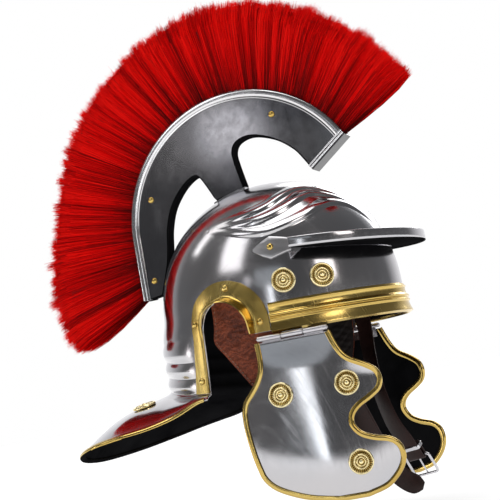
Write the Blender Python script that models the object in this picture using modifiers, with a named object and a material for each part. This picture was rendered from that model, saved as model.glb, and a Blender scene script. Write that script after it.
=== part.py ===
"""Roman legionary helmet with a fore-and-aft crest, as an assembly of separate solids.

Sizes are in millimetres and new_object() turns them into metres. In the helmet's own measure
x runs across, y from front to back and z up from the brow rim. The whole helmet hangs from an
empty that puts the origin where the crown rests on the wearer's head. The helmet faces -Y, so
its right side is at -X.
"""

import math

import bmesh
import bpy
from mathutils import Matrix, Vector

MM = 0.001
RIGHT, LEFT = -1, 1
SIDES = (("right", RIGHT), ("left", LEFT))

# Bowl, nape and neck guard
SHEET = 1.4
GAP = 0.35
FITTING_GAP = 0.55
SKULL_HALF_WIDTH = 99.0
SKULL_FRONT = 118.9
SKULL_BACK = 125.0
SKULL_MID = -3.1
SKULL_TOP = 149.7
SHOULDER = 25.6
FRONT_ROUND, BACK_ROUND, SIDE_ROUND = 2.26, 2.12, 2.3
NAPE_FLARE = 5.0
NAPE_FLARE_START = 35.0
COLUMN_STEP = 10
CROWN_STEPS = 8
FRONT_COLUMNS = 100
BROW_ROW_HEIGHTS = (12.0, 1.0)
RIB_HEIGHTS = (3.0, -12.5, -28.0)
RIB_RISE = 2.4
RIB_SPACING = 15.5
NAPE_TOP = RIB_HEIGHTS[0] + RIB_SPACING / 2
RIB_FADE = (69.0, 86.0)
CREASE_HEIGHT = -36.5
NAPE_DROOP = 10.0
NAPE_DROOP_SPAN = (45.0, 130.0)
GUARD_STEPS = (0.18, 0.4, 0.65, 1.0)
GUARD_BULGES = (3.0, 11.5)
GUARD_BULGE_ANGLES = (140, 180)
GUARD_BULGE_SLOPE = 0.13
GUARD_BULGE_SKEW = 1.2
# Rim of the neck guard for each column of the nape: angle round from the front, across, back, height
GUARD_RIM = (
    (110, 101.0, 40.0, -50.0),
    (121, 99.0, 65.0, -51.5),
    (131, 108.0, 89.0, -61.5),
    (140, 122.0, 112.5, -68.0),
    (148, 134.5, 138.0, -71.5),
    (156, 135.5, 163.0, -75.5),
    (164, 115.0, 187.5, -81.5),
    (172, 66.0, 209.0, -88.0),
    (180, 0.0, 219.0, -91.0),
)

# Eyebrow ridges: angle round from the front in degrees, height
BROW_RIDGES = (
    ((112, 107), (101, 101), (89, 95), (78, 93), (66, 97), (54, 103), (42, 110), (31, 112.5), (20, 109), (11, 99), (4, 87)),
    ((112, 108), (100, 106.5), (88, 105), (77, 107.5), (66, 113), (54, 120.5), (43, 124.5), (32, 122.5), (21, 116), (12, 106), (4, 93)),
    ((112, 109), (99, 111), (86, 114), (75, 119), (65, 126), (53, 131.5), (41, 132.5), (30, 128.5), (20, 121), (11, 111.5), (4, 100)),
)
RIDGE_HALF_WIDTH = 4.2
RIDGE_RISE = 2.6
RIDGE_SUNK = 1.0
RIDGE_STATIONS = 11

# Ear openings and their brass guards
EAR_BACK, EAR_HEIGHT = 26.0, 12.0
EAR_RADIUS = 27.0
EAR_ARCH_STEPS = 10
EAR_LEG = (57.0, -47.0)
EAR_LEG_LOW = (61.0, -110.0)
EAR_CUT_NEAR, EAR_CUT_FAR = 62.0, 145.0
EAR_GUARD_SHEET = 0.9
# Ear guard: share of the way round, flat width, flange width
EAR_GUARD_WIDTHS = (
    (0.00, 16.5, 9.0),
    (0.18, 16.5, 15.0),
    (0.42, 17.0, 19.0),
    (0.58, 15.5, 13.0),
    (0.68, 13.0, 4.0),
    (0.75, 12.0, 1.2),
    (0.90, 14.0, 1.2),
    (1.00, 17.0, 1.2),
)
FLANGE_LEAN = 0.22

# Brow band section: out from the bowl, height
BAND_SECTION = (
    (0.4, 0.0),
    (5.3, 0.0),
    (3.0, 8.6),
    (4.2, 10.8),
    (2.7, 12.8),
    (4.0, 14.8),
    (1.6, 18.0),
    (1.4, 21.4),
    (2.3, 24.8),
    (0.4, 24.8),
)
BAND_END_ANGLE = 82.5

# Peak: a flat plate with a turned-up rim strip, sloping down to the front
PEAK_HALF_WIDTH = 107.0
PEAK_MID = -51.5
PEAK_REACH = 101.0
PEAK_HEIGHT = 72.2
PEAK_SLOPE = 0.073
PEAK_STRIP = 9.8
PEAK_SHEET = 1.3
PEAK_STATIONS = 19
PEAK_BOWL_ANGLE = 62.0
# End tabs of the peak: back, lower edge, upper edge
PEAK_TAB = (
    (-47.0, 71.2, 82.6),
    (-42.0, 70.6, 84.6),
    (-28.0, 66.8, 88.0),
    (-21.0, 70.2, 84.6),
    (-12.0, 76.6, 78.4),
)

# Crest box: arc in the middle plane, straight tail at the back
CREST_BACK, CREST_HEIGHT = 16.4, 122.3
CREST_RADIUS = 127.8
CREST_FRONT_ANGLE = -62.7
CREST_TAIL = 60.2
CREST_HALF_THICK = 8.5
CREST_SHEET = 1.2
CREST_EDGE_WIDTH = 9.5
CREST_EDGE_RISE = 1.6
CREST_ARC_STEPS = 20
CORE_INSET = 1.6
CORE_TOP_INSET = 2.0
# Lower edge of the crest box, from its back end round both openings to its front end: back, height
CREST_TAIL_INNER = (122.4, 63.3)
CREST_BACK_OPENING = (
    (112.5, 90.0),
    (108.5, 106.0),
    (104.9, 127.0),
    (98.0, 146.0),
    (88.0, 160.0),
    (77.0, 170.0),
    (66.0, 175.4),
    (59.5, 173.0),
    (53.0, 161.5),
)
CREST_FOOT_BACK = (45.8, 146.0)
CREST_FOOT_FRONT = (16.0, 152.0)
CREST_FRONT_OPENING = (
    (17.6, 160.0),
    (20.4, 176.0),
    (21.4, 189.0),
    (16.0, 198.5),
    (3.0, 202.6),
    (-12.0, 199.8),
    (-30.0, 190.8),
    (-45.0, 178.0),
    (-53.5, 165.5),
)
CREST_END_INNER = (-60.0, 154.4)
SEAT_HALF_WIDTH = 11.0
SEAT_SPAN = (13.0, 48.0)
SEAT_THICK = 2.4
CAP_SHEET = 1.0
CAP_LIP = 5.0

# Plume: base on the crest arc, tips further out
PLUME_LOCKS = 27
PLUME_TIP_ANGLES = (-60.5, 116.0)
PLUME_TIP_RADIUS = 215.5
PLUME_END_LOSS = 7.0
PLUME_TAIL_GAIN = 22.0
PLUME_TAIL_ANGLES = (72.0, 110.0)
PLUME_SHARE_ON_ARC = 0.85
PLUME_SEAT = 1.5
LOCK_NOTCH = 6.0
LOCK_PINCH = 0.9
# Plume thickness: share of the hair length, half thickness
PLUME_SECTION = (
    (0.00, 6.5),
    (0.30, 14.0),
    (0.75, 25.5),
    (1.00, 20.5),
)

# Cheek pieces and their hinges
CHEEK_SHEET = 1.2
HINGE_ACROSS, HINGE_BACK, HINGE_HEIGHT = 98.5, -36.5, -5.0
HINGE_SLANT = math.radians(8.0)
HINGE_HALF_LENGTH = 33.0
KNUCKLE_RADIUS = 2.5
KNUCKLE_BORE = 1.35
KNUCKLE_SPLITS = (-10.5, 10.5)
PIN_RADIUS = 1.0
PIN_HEAD = 0.8
LEAF_SHEET = 0.9
# Cranked strip of the bowl leaf in the hinge's cross-section: outwards, up
BOWL_LEAF_SECTION = (
    (-1.7, 1.2),
    (-0.9, 2.2),
    (-7.0, 2.2),
    (-7.0, 15.0),
    (-7.9, 15.0),
    (-7.9, 1.2),
)
CHEEK_LEAF_DROP = 12.0
CHEEK_LEAF_INSET = 3.8
LEAF_STEP = 0.1
TONGUE_TOP = (-1.0, -1.5)
TONGUE_INSET = 0.7
TONGUE_END_INSET = 0.3
CHEEK_FLARE = 0.06
CHEEK_FRONT_BEND = (12.0, 500.0)
CHEEK_BACK_BEND = (20.0, 330.0)
CHEEK_BEND_DEPTH = 40.0
CHEEK_COLUMNS = 3
# Cheek piece outline: height, front edge, back edge
CHEEK_ROWS = (
    (-8.8, -69.5, -2.2),
    (-25.0, -75.4, -2.9),
    (-35.5, -82.6, -1.2),
    (-44.5, -97.4, 3.4),
    (-51.5, -105.8, 9.0),
    (-60.0, -108.0, 16.6),
    (-68.0, -105.0, 19.8),
    (-74.0, -96.8, 20.2),
    (-80.0, -85.8, 20.3),
    (-87.0, -78.8, 19.9),
    (-95.5, -77.4, 19.0),
    (-104.5, -83.2, 17.7),
    (-114.0, -107.2, 16.0),
    (-121.0, -114.8, 14.4),
    (-131.5, -116.6, 11.0),
    (-141.0, -113.0, 2.4),
    (-149.0, -106.2, -12.5),
    (-155.5, -97.0, -31.0),
    (-160.0, -80.5, -54.0),
)
TRIM_WALL = 0.9
TRIM_GAP = 0.6
TRIM_DEPTH = 3.0

# Round fastenings
ROSETTE_RADIUS = 11.6
ROSETTE_SIDES = 12
# Rosette section: share of the radius, height
ROSETTE_SECTION = ((1.0, 0.0), (0.9, 2.1), (0.45, 1.4), (0.0, 3.7))
RIVET_RADIUS = 3.2
RIVET_RISE = 1.9
# Rivet section: share of the radius, share of the rise
RIVET_SECTION = ((1.0, 0.0), (0.8, 0.75), (0.0, 1.0))
MERGE_DISTANCE = 0.01
RIVET_SIDES = 8
KNUCKLE_SIDES = 8
# Places on the bowl, cheek pieces, ear guards and crest box: back, height
BOWL_ROSETTES = ((-36.5, 45.0), (-70.0, 43.6))
CHEEK_ROSETTES = ((-17.6, -58.6), (-78.4, -58.1), (-78.8, -129.9))
EAR_RIVETS = ((20.6, 48.4), (-8.6, 11.2), (60.6, 21.1), (63.6, -33.0))
CREST_RIVETS = ((-27.7, 217.0), (116.3, 160.7), (128.0, 78.4))
TAB_RIVET = (-28.4, 77.7)
# Places on the neck guard: angle round from the front, share of the way to the rim
GUARD_ROSETTES = ((-159, 0.33), (180, 0.67), (159, 0.33))

# Leather
LEATHER = 2.2
STRAP_WIDTH = 19.0
FLAP_SETTLE = 3.0
# Liner flap: height, front edge, back edge
FLAP_ROWS = (
    (46.0, -44.0, 40.0),
    (30.0, -45.0, 42.0),
    (14.0, -45.5, 44.0),
    (0.0, -45.0, 46.0),
    (-14.0, -43.5, 36.0),
    (-30.0, -39.0, 24.5),
    (-46.0, -31.0, 13.0),
    (-57.0, -22.0, 2.0),
)
# Strap centre lines, drawn for the left: across, back, height, and turn of the flat side in degrees
TAIL_STRAP = (
    (84.0, -56.3, 16.0, 24),
    (83.6, -56.3, 0.0, 24),
    (77.5, -59.0, -22.0, 24),
    (65.0, -65.0, -55.0, 28),
    (51.0, -73.0, -90.0, 34),
    (36.0, -80.0, -122.0, 36),
    (25.0, -88.0, -146.0, 30),
    (20.0, -98.5, -160.0, 14),
    (18.5, -112.0, -166.5, 4),
)
BUCKLE_STRAP = (
    (84.0, -56.3, 16.0, 24),
    (83.2, -56.3, 0.0, 24),
    (69.0, -60.0, -26.0, 26),
    (49.0, -66.0, -52.0, 30),
    (35.0, -73.0, -78.0, 34),
    (29.0, -81.0, -104.0, 30),
    (33.0, -89.5, -125.0, 24),
    (40.0, -94.0, -141.0, 20),
)
TIP_LENGTH = 9.0
BUCKLE_BAR = 1.3
BUCKLE_LENGTH = 22.0
BUCKLE_WIDTH = 27.0
BUCKLE_CORNER = 2.5
CORNER_EASE = 0.3
BAR_AHEAD = 2.0
FOLD_BACK = 15.0
FOLD_STEPS = 6
KEEPER_SETBACK = 9.0
KEEPER_SHEET = 1.0
KEEPER_WIDTH = 4.0
STRAP_RIVET_DROP = 5.0

COLOURS = {
    "polished_steel": ((0.72, 0.71, 0.72, 1.0), 0.16, 1.0),
    "crest_steel": ((0.42, 0.42, 0.43, 1.0), 0.32, 1.0),
    "polished_brass": ((0.83, 0.62, 0.24, 1.0), 0.2, 1.0),
    "black_paint": ((0.012, 0.012, 0.013, 1.0), 0.45, 0.0),
    "red_bristle": ((0.6, 0.005, 0.008, 1.0), 0.55, 0.0),
    "hinge_steel": ((0.75, 0.73, 0.75, 1.0), 0.28, 1.0),
    "liner_leather": ((0.16, 0.042, 0.024, 1.0), 0.6, 0.0),
    "strap_leather": ((0.035, 0.014, 0.011, 1.0), 0.45, 0.0),
}


# Small helpers


def smooth(share):
    """0 to 1 with level ends."""
    share = min(1.0, max(0.0, share))
    return share * share * (3 - 2 * share)


def mixed(a, b, share):
    return a + (b - a) * share


def from_table(table, key):
    """The row of a table at this value of its first column, read smoothly."""
    for low, high in zip(table, table[1:]):
        if key <= high[0]:
            share = (key - low[0]) / (high[0] - low[0])
            return [mixed(a, b, share) for a, b in zip(low[1:], high[1:])]
    return list(table[-1][1:])


def curve_through(points, steps):
    """Points on a smooth curve through the given ones, with this many steps to each span."""
    rows = [Vector(p) for p in points]
    rows = [2 * rows[0] - rows[1]] + rows + [2 * rows[-1] - rows[-2]]
    found = []
    for a, b, c, d in zip(rows, rows[1:], rows[2:], rows[3:]):
        for step in range(steps):
            t = step / steps
            found.append(
                0.5 * (2 * b + (c - a) * t + (2 * a - 5 * b + 4 * c - d) * t**2 + (3 * b - a - 3 * c + d) * t**3)
            )
    return found + [rows[-2]]


def along(points, share):
    """The point this share of the way along a list of points."""
    place = min(share, 0.999999) * (len(points) - 1)
    index = int(place)
    return points[index].lerp(points[index + 1], place - index)


def on_arc(centre, radius, degrees):
    """A point in the middle plane, with degrees counted from straight up towards the back."""
    angle = math.radians(degrees)
    return (centre[0] + radius * math.sin(angle), centre[1] + radius * math.cos(angle))


def loft(rows, ring=True, loop=False, caps=True):
    """Vertices and faces that join rows of points of equal length."""
    count = len(rows[0])
    verts = [v for row in rows for v in row]
    faces = []
    for r in range(len(rows) if loop else len(rows) - 1):
        here = r * count
        there = ((r + 1) % len(rows)) * count
        for c in range(count if ring else count - 1):
            right = (c + 1) % count
            faces.append((here + c, here + right, there + right, there + c))
    if ring and caps and not loop:
        faces.append(tuple(range(count))[::-1])
        faces.append(tuple((len(rows) - 1) * count + c for c in range(count)))
    return verts, faces


def split_quads(verts, faces):
    """Cuts each four-sided face along its shorter diagonal."""
    triangles = []
    for a, b, c, d in faces:
        if (verts[a] - verts[c]).length < (verts[b] - verts[d]).length:
            triangles += [(a, b, c), (a, c, d)]
        else:
            triangles += [(a, b, d), (b, c, d)]
    return verts, triangles


# Scene


def clear_scene():
    for obj in list(bpy.data.objects):
        bpy.data.objects.remove(obj, do_unlink=True)


def new_collection(name):
    collection = bpy.data.collections.new(name)
    bpy.context.scene.collection.children.link(collection)
    return collection


def new_materials():
    made = {}
    for name, (colour, roughness, metallic) in COLOURS.items():
        material = bpy.data.materials.new(name)
        material.use_nodes = True
        shader = material.node_tree.nodes["Principled BSDF"]
        shader.inputs["Base Color"].default_value = colour
        shader.inputs["Roughness"].default_value = roughness
        shader.inputs["Metallic"].default_value = metallic
        material.diffuse_color = colour
        made[name] = material
    return made


def new_empty(name, place, parent=None):
    empty = bpy.data.objects.new(name, None)
    empty.empty_display_size = 0.02
    empty.location = Vector(place) * MM
    empty.parent = parent
    HELMET.objects.link(empty)
    return empty


def new_object(name, shape, material, parent=None, origin=(0, 0, 0), open_sheet=False):
    """A mesh object in the helmet's measure, with its faces turned outwards."""
    verts, faces = shape
    mesh = bpy.data.meshes.new(name)
    mesh.from_pydata([(Vector(v) - Vector(origin)) * MM for v in verts], [], faces)
    work = bmesh.new()
    work.from_mesh(mesh)
    if not open_sheet:
        bmesh.ops.recalc_face_normals(work, faces=work.faces)
    work.to_mesh(mesh)
    work.free()
    mesh.shade_smooth()
    mesh.set_sharp_from_angle(angle=math.radians(35))
    mesh.materials.append(MATERIALS[material])
    obj = bpy.data.objects.new(name, mesh)
    obj.parent = parent or FRAME
    HELMET.objects.link(obj)
    return obj


def solidify(obj, thickness, offset=-1.0):
    modifier = obj.modifiers.new("sheet", "SOLIDIFY")
    modifier.thickness = thickness * MM
    modifier.offset = offset
    modifier.use_even_offset = True


def as_helper(obj):
    """Moves an object that only cuts or joins into the helpers' collection."""
    HELMET.objects.unlink(obj)
    HELPERS.objects.link(obj)
    obj.hide_render = True
    obj.display_type = "WIRE"


def boolean(obj, other, operation):
    modifier = obj.modifiers.new(operation.lower() + "_" + other.name, "BOOLEAN")
    modifier.operation = operation
    modifier.object = other
    as_helper(other)


def extruded(outlines, low, high, place):
    """A flat outline with any holes, made solid between two distances along the third axis of a matrix."""
    curve = bpy.data.curves.new("outline", "CURVE")
    curve.dimensions = "2D"
    curve.fill_mode = "BOTH"
    curve.extrude = (high - low) / 2
    for outline in outlines:
        spline = curve.splines.new("POLY")
        spline.points.add(len(outline) - 1)
        for point, (u, v) in zip(spline.points, outline):
            point.co = (u, v, 0, 1)
        spline.use_cyclic_u = True
    guide = bpy.data.objects.new("outline", curve)
    mesh = bpy.data.meshes.new_from_object(guide)
    bpy.data.objects.remove(guide)
    work = bmesh.new()
    work.from_mesh(mesh)
    bmesh.ops.remove_doubles(work, verts=work.verts, dist=0.01)
    work.verts.index_update()
    shift = Vector((0, 0, (low + high) / 2))
    verts = [place @ (v.co + shift) for v in work.verts]
    faces = [tuple(v.index for v in face.verts) for face in work.faces]
    work.free()
    return verts, faces


# The bowl's surface


def skull_reach(height):
    """Half width and front and back lengths of the bowl's level section at this height."""
    t = max(0.0, (height - SHOULDER) / (SKULL_TOP - SHOULDER))
    closing = [max(0.0, 1 - t**power) ** (1 / power) for power in (SIDE_ROUND, FRONT_ROUND, BACK_ROUND)]
    flare = NAPE_FLARE * smooth((NAPE_FLARE_START - height) / (NAPE_FLARE_START - NAPE_TOP))
    return SKULL_HALF_WIDTH * closing[0], SKULL_FRONT * closing[1], SKULL_BACK * closing[2] + flare


def skull_point(degrees, height, out=0.0):
    """A point on the bowl, with degrees counted round from the front towards the left (+X)."""
    wide, front, back = skull_reach(height)
    angle = math.radians(degrees)
    length = front if math.cos(angle) > 0 else back
    point = Vector((wide * math.sin(angle), SKULL_MID - length * math.cos(angle), height))
    return point + skull_normal(degrees, height) * out if out else point


def skull_normal(degrees, height):
    step = 0.5
    high = min(height + step, SKULL_TOP - 0.01)
    across = skull_point(degrees + step, height) - skull_point(degrees - step, height)
    up = skull_point(degrees, high) - skull_point(degrees, height - step)
    return across.cross(up).normalized()


def skull_angle(back, height):
    """The angle round from the front where the bowl at this height is this far back."""
    _, front, rear = skull_reach(height)
    length = front if back < SKULL_MID else rear
    return math.degrees(math.acos(max(-1.0, min(1.0, (SKULL_MID - back) / length))))


def skull_at(side, back, height, out=0.0):
    """The point on one side of the bowl at this distance back, raised off it by out."""
    return skull_point(side * skull_angle(back, height), height, out)


# Nape and neck guard


def nape_droop(back):
    low, high = NAPE_DROOP_SPAN
    share = (min(back, high) - low) / (high - low)
    return NAPE_DROOP * (1 - share * share)


def nape_point(degrees, row_height, rise):
    """A point on the nape: ribs and crease run lower towards the ears."""
    base = skull_point(degrees, 0.0)
    fade = smooth((base.y - RIB_FADE[0]) / (RIB_FADE[1] - RIB_FADE[0]))
    drop = nape_droop(base.y) * smooth((12.0 - row_height) / 12.0)
    outward = Vector((base.x / SKULL_HALF_WIDTH**2, (base.y - SKULL_MID) / SKULL_BACK**2, 0)).normalized()
    return base + outward * rise * fade + Vector((0, 0, row_height - drop))


def guard_rim_point(degrees):
    across, back, height = from_table(GUARD_RIM, abs(degrees))
    return Vector((math.copysign(across, degrees), back, height))


def guard_point(degrees, share):
    """A point on the neck guard, from 0 at the crease to 1 at the rim."""
    crease = nape_point(degrees, CREASE_HEIGHT, 0.0)
    rim = guard_rim_point(degrees)
    start, end = GUARD_BULGE_ANGLES
    bulge = mixed(*GUARD_BULGES, smooth((abs(degrees) - start) / (end - start)))
    bulge = min(bulge, GUARD_BULGE_SLOPE * (rim - crease).length)
    return crease.lerp(rim, share) + Vector((0, 0, bulge * math.sin(math.pi * share**GUARD_BULGE_SKEW)))


def nape_columns():
    """Angles of the nape's columns, from the left ear round the back to the right ear."""
    left = [row[0] for row in GUARD_RIM]
    return left + [-degrees for degrees in reversed(left[:-1])]


def nape_rows():
    """Heights and outward rise of the rows down the nape, by rib crests and the valleys between them."""
    rows = [(NAPE_TOP, 0.0)]
    for height in RIB_HEIGHTS:
        rows.append((height + RIB_SPACING / 5, RIB_RISE * 0.8))
        rows.append((height - RIB_SPACING / 5, RIB_RISE * 0.8))
        rows.append((height - RIB_SPACING / 2, 0.0))
    rows[-1] = (CREASE_HEIGHT, 0.0)
    return rows


def skull_sheet():
    """The open outer surface: full rows over the head, then front rows to the brow and back rows to the rim."""
    front = list(range(-FRONT_COLUMNS, FRONT_COLUMNS + 1, COLUMN_STEP))
    back = nape_columns()
    columns = front + back
    verts = [Vector((0, SKULL_MID, SKULL_TOP))]
    faces = []

    def add_row(angles, points):
        """Adds a row of points and gives each one's number by its angle."""
        start = len(verts)
        verts.extend(points)
        return {degrees: start + n for n, degrees in enumerate(angles)}

    def join_rows(angles, upper, lower):
        for here, there in zip(angles, angles[1:]):
            faces.append((upper[here], lower[here], lower[there], upper[there]))

    around = columns + columns[:1]
    rows = []
    for step in range(CROWN_STEPS):
        height = SHOULDER + (SKULL_TOP - SHOULDER) * math.cos(math.radians(90 * (step + 1) / CROWN_STEPS))
        rows.append(add_row(columns, [skull_point(degrees, height) for degrees in columns]))
    for here, there in zip(around, around[1:]):
        faces.append((0, rows[0][here], rows[0][there]))
    for upper, lower in zip(rows, rows[1:]):
        join_rows(around, upper, lower)
    upper = rows[-1]
    for height in BROW_ROW_HEIGHTS:
        lower = add_row(front, [skull_point(degrees, height) for degrees in front])
        join_rows(front, upper, lower)
        upper = lower
    upper = rows[-1]
    sheets = [[nape_point(degrees, height, rise) for degrees in back] for height, rise in nape_rows()]
    sheets += [[guard_point(degrees, share) for degrees in back] for share in GUARD_STEPS]
    for points in sheets:
        lower = add_row(back, points)
        join_rows(back, upper, lower)
        upper = lower
    return verts, faces


def ear_outline():
    """Edge of the ear opening from the front of the brow rim over the arch to its back: back, height."""
    steps = EAR_ARCH_STEPS
    return [on_arc((EAR_BACK, EAR_HEIGHT), EAR_RADIUS, -90 + 180 * n / steps) for n in range(steps + 1)]


def ear_cutter(name, side):
    low_front = (EAR_BACK - EAR_RADIUS, EAR_LEG_LOW[1])
    outline = [low_front] + ear_outline() + [EAR_LEG, EAR_LEG_LOW]
    near, far = sorted((side * EAR_CUT_NEAR, side * EAR_CUT_FAR))
    return new_object(name, extruded([outline], near, far, IN_MIDDLE_PLANE), "black_paint")


def ridge_solid(name, side, line):
    """One eyebrow ridge as a low rounded bar, sunk a little into the sheet so that it joins it."""
    path = curve_through([(side * degrees, height, 0) for degrees, height in line], 2)
    path = [along(path, n / (RIDGE_STATIONS - 1)) for n in range(RIDGE_STATIONS)]
    rows = []
    for n, (degrees, height, _) in enumerate(path):
        ahead = path[min(n + 1, len(path) - 1)]
        behind = path[max(n - 1, 0)]
        run = (skull_point(ahead.x, ahead.y) - skull_point(behind.x, behind.y)).normalized()
        normal = skull_normal(degrees, height)
        across = run.cross(normal).normalized()
        centre = skull_point(degrees, height)
        share = n / (len(path) - 1)
        size = mixed(0.35, 1.0, smooth(min(share, 1 - share) / 0.22))
        wide = RIDGE_HALF_WIDTH * size
        high = RIDGE_RISE * size
        section = ((-1.0, -RIDGE_SUNK), (-0.45, high), (0.45, high), (1.0, -RIDGE_SUNK))
        rows.append([centre + across * wide * a + normal * b for a, b in section])
    return new_object(name, loft(rows), "polished_steel")


def make_skull():
    bowl = new_object("skull_bowl", skull_sheet(), "polished_steel", open_sheet=True)
    solidify(bowl, SHEET)
    for name, side in SIDES:
        boolean(bowl, ear_cutter("ear_cutter_" + name, side), "DIFFERENCE")
    for name, side in SIDES:
        for n, line in enumerate(BROW_RIDGES):
            boolean(bowl, ridge_solid(f"brow_ridge_{name}_{n + 1}", side, line), "UNION")


def folded_channel(path, inward, normals, sheet):
    """A U-shaped edge channel round a sheet's edge; the path runs along the edge's outer face."""
    half = sheet / 2 + TRIM_GAP
    wall = half + TRIM_WALL
    end = TRIM_GAP + TRIM_WALL
    section = (
        (TRIM_DEPTH, wall),
        (-end, wall),
        (-end, -wall),
        (TRIM_DEPTH, -wall),
        (TRIM_DEPTH, -half),
        (-TRIM_GAP, -half),
        (-TRIM_GAP, half),
        (TRIM_DEPTH, half),
    )
    rows = []
    for point, into, normal in zip(path, inward, normals):
        middle = point - normal * sheet / 2
        rows.append([middle + into * a + normal * b for a, b in section])
    return loft(rows)


def make_guard_trim():
    degrees = nape_columns()[1:-1]
    edge = [guard_rim_point(d) for d in degrees]
    inner = [guard_point(d, GUARD_STEPS[-2]) for d in degrees]
    inward, normals = [], []
    for n, point in enumerate(edge):
        run = edge[min(n + 1, len(edge) - 1)] - edge[max(n - 1, 0)]
        normal = (inner[n] - point).cross(run).normalized()
        normal = normal if normal.z > 0 else -normal
        into = run.cross(normal).normalized()
        into = into if into.dot(inner[n] - point) > 0 else -into
        inward.append(into)
        normals.append(normal)
    new_object("neck_guard_trim", folded_channel(edge, inward, normals, SHEET), "polished_brass")


# Fittings on the bowl


def make_brow_band():
    whole = int(BAND_END_ANGLE) // COLUMN_STEP * COLUMN_STEP
    columns = [-BAND_END_ANGLE, *range(-whole, whole + 1, COLUMN_STEP), BAND_END_ANGLE]
    rows = [[skull_point(d, 12.0) + level_normal(d) * out + Vector((0, 0, height - 12.0))
             for out, height in BAND_SECTION] for d in columns]
    new_object("brow_band", loft(rows), "polished_brass")


def level_normal(degrees):
    normal = skull_normal(degrees, 12.0)
    normal.z = 0
    return normal.normalized()


def make_ear_guard(name, side):
    """A flat arched plate on the bowl with a flange standing out along its inner edge."""
    low_front = (EAR_BACK - EAR_RADIUS, 1.4)
    foot = EAR_LEG
    edge = [low_front] + ear_outline()
    edge += [(mixed(EAR_BACK + EAR_RADIUS, foot[0], t), mixed(EAR_HEIGHT, foot[1] + 2.0, t)) for t in (0.25, 0.5, 0.75, 1.0)]
    rows = []
    for n, (back, height) in enumerate(edge):
        ahead = edge[min(n + 1, len(edge) - 1)]
        behind = edge[max(n - 1, 0)]
        run = Vector((ahead[0] - behind[0], ahead[1] - behind[1])).normalized()
        away = Vector((-run.y, run.x))
        flat, flange = from_table(EAR_GUARD_WIDTHS, n / (len(edge) - 1))
        across = [skull_at(side, back + away.x * w, height + away.y * w, FITTING_GAP) for w in (0.4, flat / 2, flat)]
        lifted = [
            skull_at(side, back + away.x * w, height + away.y * w, FITTING_GAP + EAR_GUARD_SHEET)
            for w in (0.4 + EAR_GUARD_SHEET, flat / 2, flat)
        ]
        outward = Vector((side, 0, 0)) - Vector((0, away.x, away.y)) * FLANGE_LEAN
        outward.normalize()
        tip_inner = across[0] + outward * (flange + EAR_GUARD_SHEET)
        tip_outer = lifted[0] + outward * flange
        rows.append(across + lifted[::-1] + [tip_outer, tip_inner])
    new_object("ear_guard_" + name, loft(rows), "polished_brass")


def peak_height(back):
    return PEAK_HEIGHT + PEAK_SLOPE * (back - PEAK_MID)


def peak_row(side_angle, outer, low, high):
    """A section of the peak: the strip's two faces, then the plate's inner edge against the bowl."""
    x, y = outer
    bowl = skull_point(side_angle, low)
    away = Vector((x - bowl.x, y - bowl.y, 0))
    away.normalize()
    seat_low = skull_point(side_angle, low, FITTING_GAP)
    seat_high = skull_point(side_angle, low + PEAK_SHEET, FITTING_GAP)
    face = Vector((x, y, 0))
    back_face = face - away * PEAK_SHEET
    return [
        seat_low,
        Vector((face.x, face.y, low)),
        Vector((face.x, face.y, high)),
        Vector((back_face.x, back_face.y, high)),
        Vector((back_face.x, back_face.y, low + PEAK_SHEET)),
        seat_high,
    ]


def tab_row(side, back, low, high):
    """A section of the end tab, which lies flat on the bowl."""
    seat = [skull_at(side, back, h, FITTING_GAP) for h in (low, low + (high - low) * 0.4, high)]
    face = [skull_at(side, back, h, FITTING_GAP + PEAK_SHEET) for h in (low, high)]
    return [seat[0], face[0], face[1], seat[2], seat[1], seat[0].lerp(seat[1], 0.5)]


def make_peak():
    rows = []
    for step in range(PEAK_STATIONS):
        share = -1 + 2 * step / (PEAK_STATIONS - 1)
        angle = math.radians(90 * share)
        outer = (PEAK_HALF_WIDTH * math.sin(angle), PEAK_MID - PEAK_REACH * math.cos(angle))
        low = peak_height(outer[1])
        rows.append(peak_row(PEAK_BOWL_ANGLE * share, outer, low, low + PEAK_STRIP))
    left_tab = [tab_row(LEFT, *row) for row in PEAK_TAB]
    right_tab = [tab_row(RIGHT, *row) for row in reversed(PEAK_TAB)]
    new_object("brow_peak", loft(right_tab + rows + left_tab), "polished_steel")


# Crest


def crest_outer(inset=0.0, steps=CREST_ARC_STEPS):
    """Outer edge of the crest box from its front end to the end of its tail: back, height."""
    centre = (CREST_BACK, CREST_HEIGHT)
    radius = CREST_RADIUS - inset
    arc = [on_arc(centre, radius, mixed(CREST_FRONT_ANGLE, 90, n / steps)) for n in range(steps + 1)]
    return arc + [(CREST_BACK + radius, CREST_TAIL)]


def crest_outline(outer_inset=0.0, inner_inset=0.0):
    """The whole side outline of the crest box, with its two openings and the leg between them."""
    lower = [CREST_TAIL_INNER, *CREST_BACK_OPENING, CREST_FOOT_BACK, CREST_FOOT_FRONT]
    lower += [*CREST_FRONT_OPENING, CREST_END_INNER]
    if inner_inset:
        lower = shifted(lower, inner_inset)
    return crest_outer(outer_inset) + lower


def shifted(points, distance):
    """An open line moved sideways, towards the body of the crest box."""
    moved = []
    for n, point in enumerate(points):
        ahead = Vector(points[min(n + 1, len(points) - 1)])
        behind = Vector(points[max(n - 1, 0)])
        run = (ahead - behind).normalized()
        moved.append((point[0] + run.y * distance, point[1] - run.x * distance))
    return moved


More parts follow.
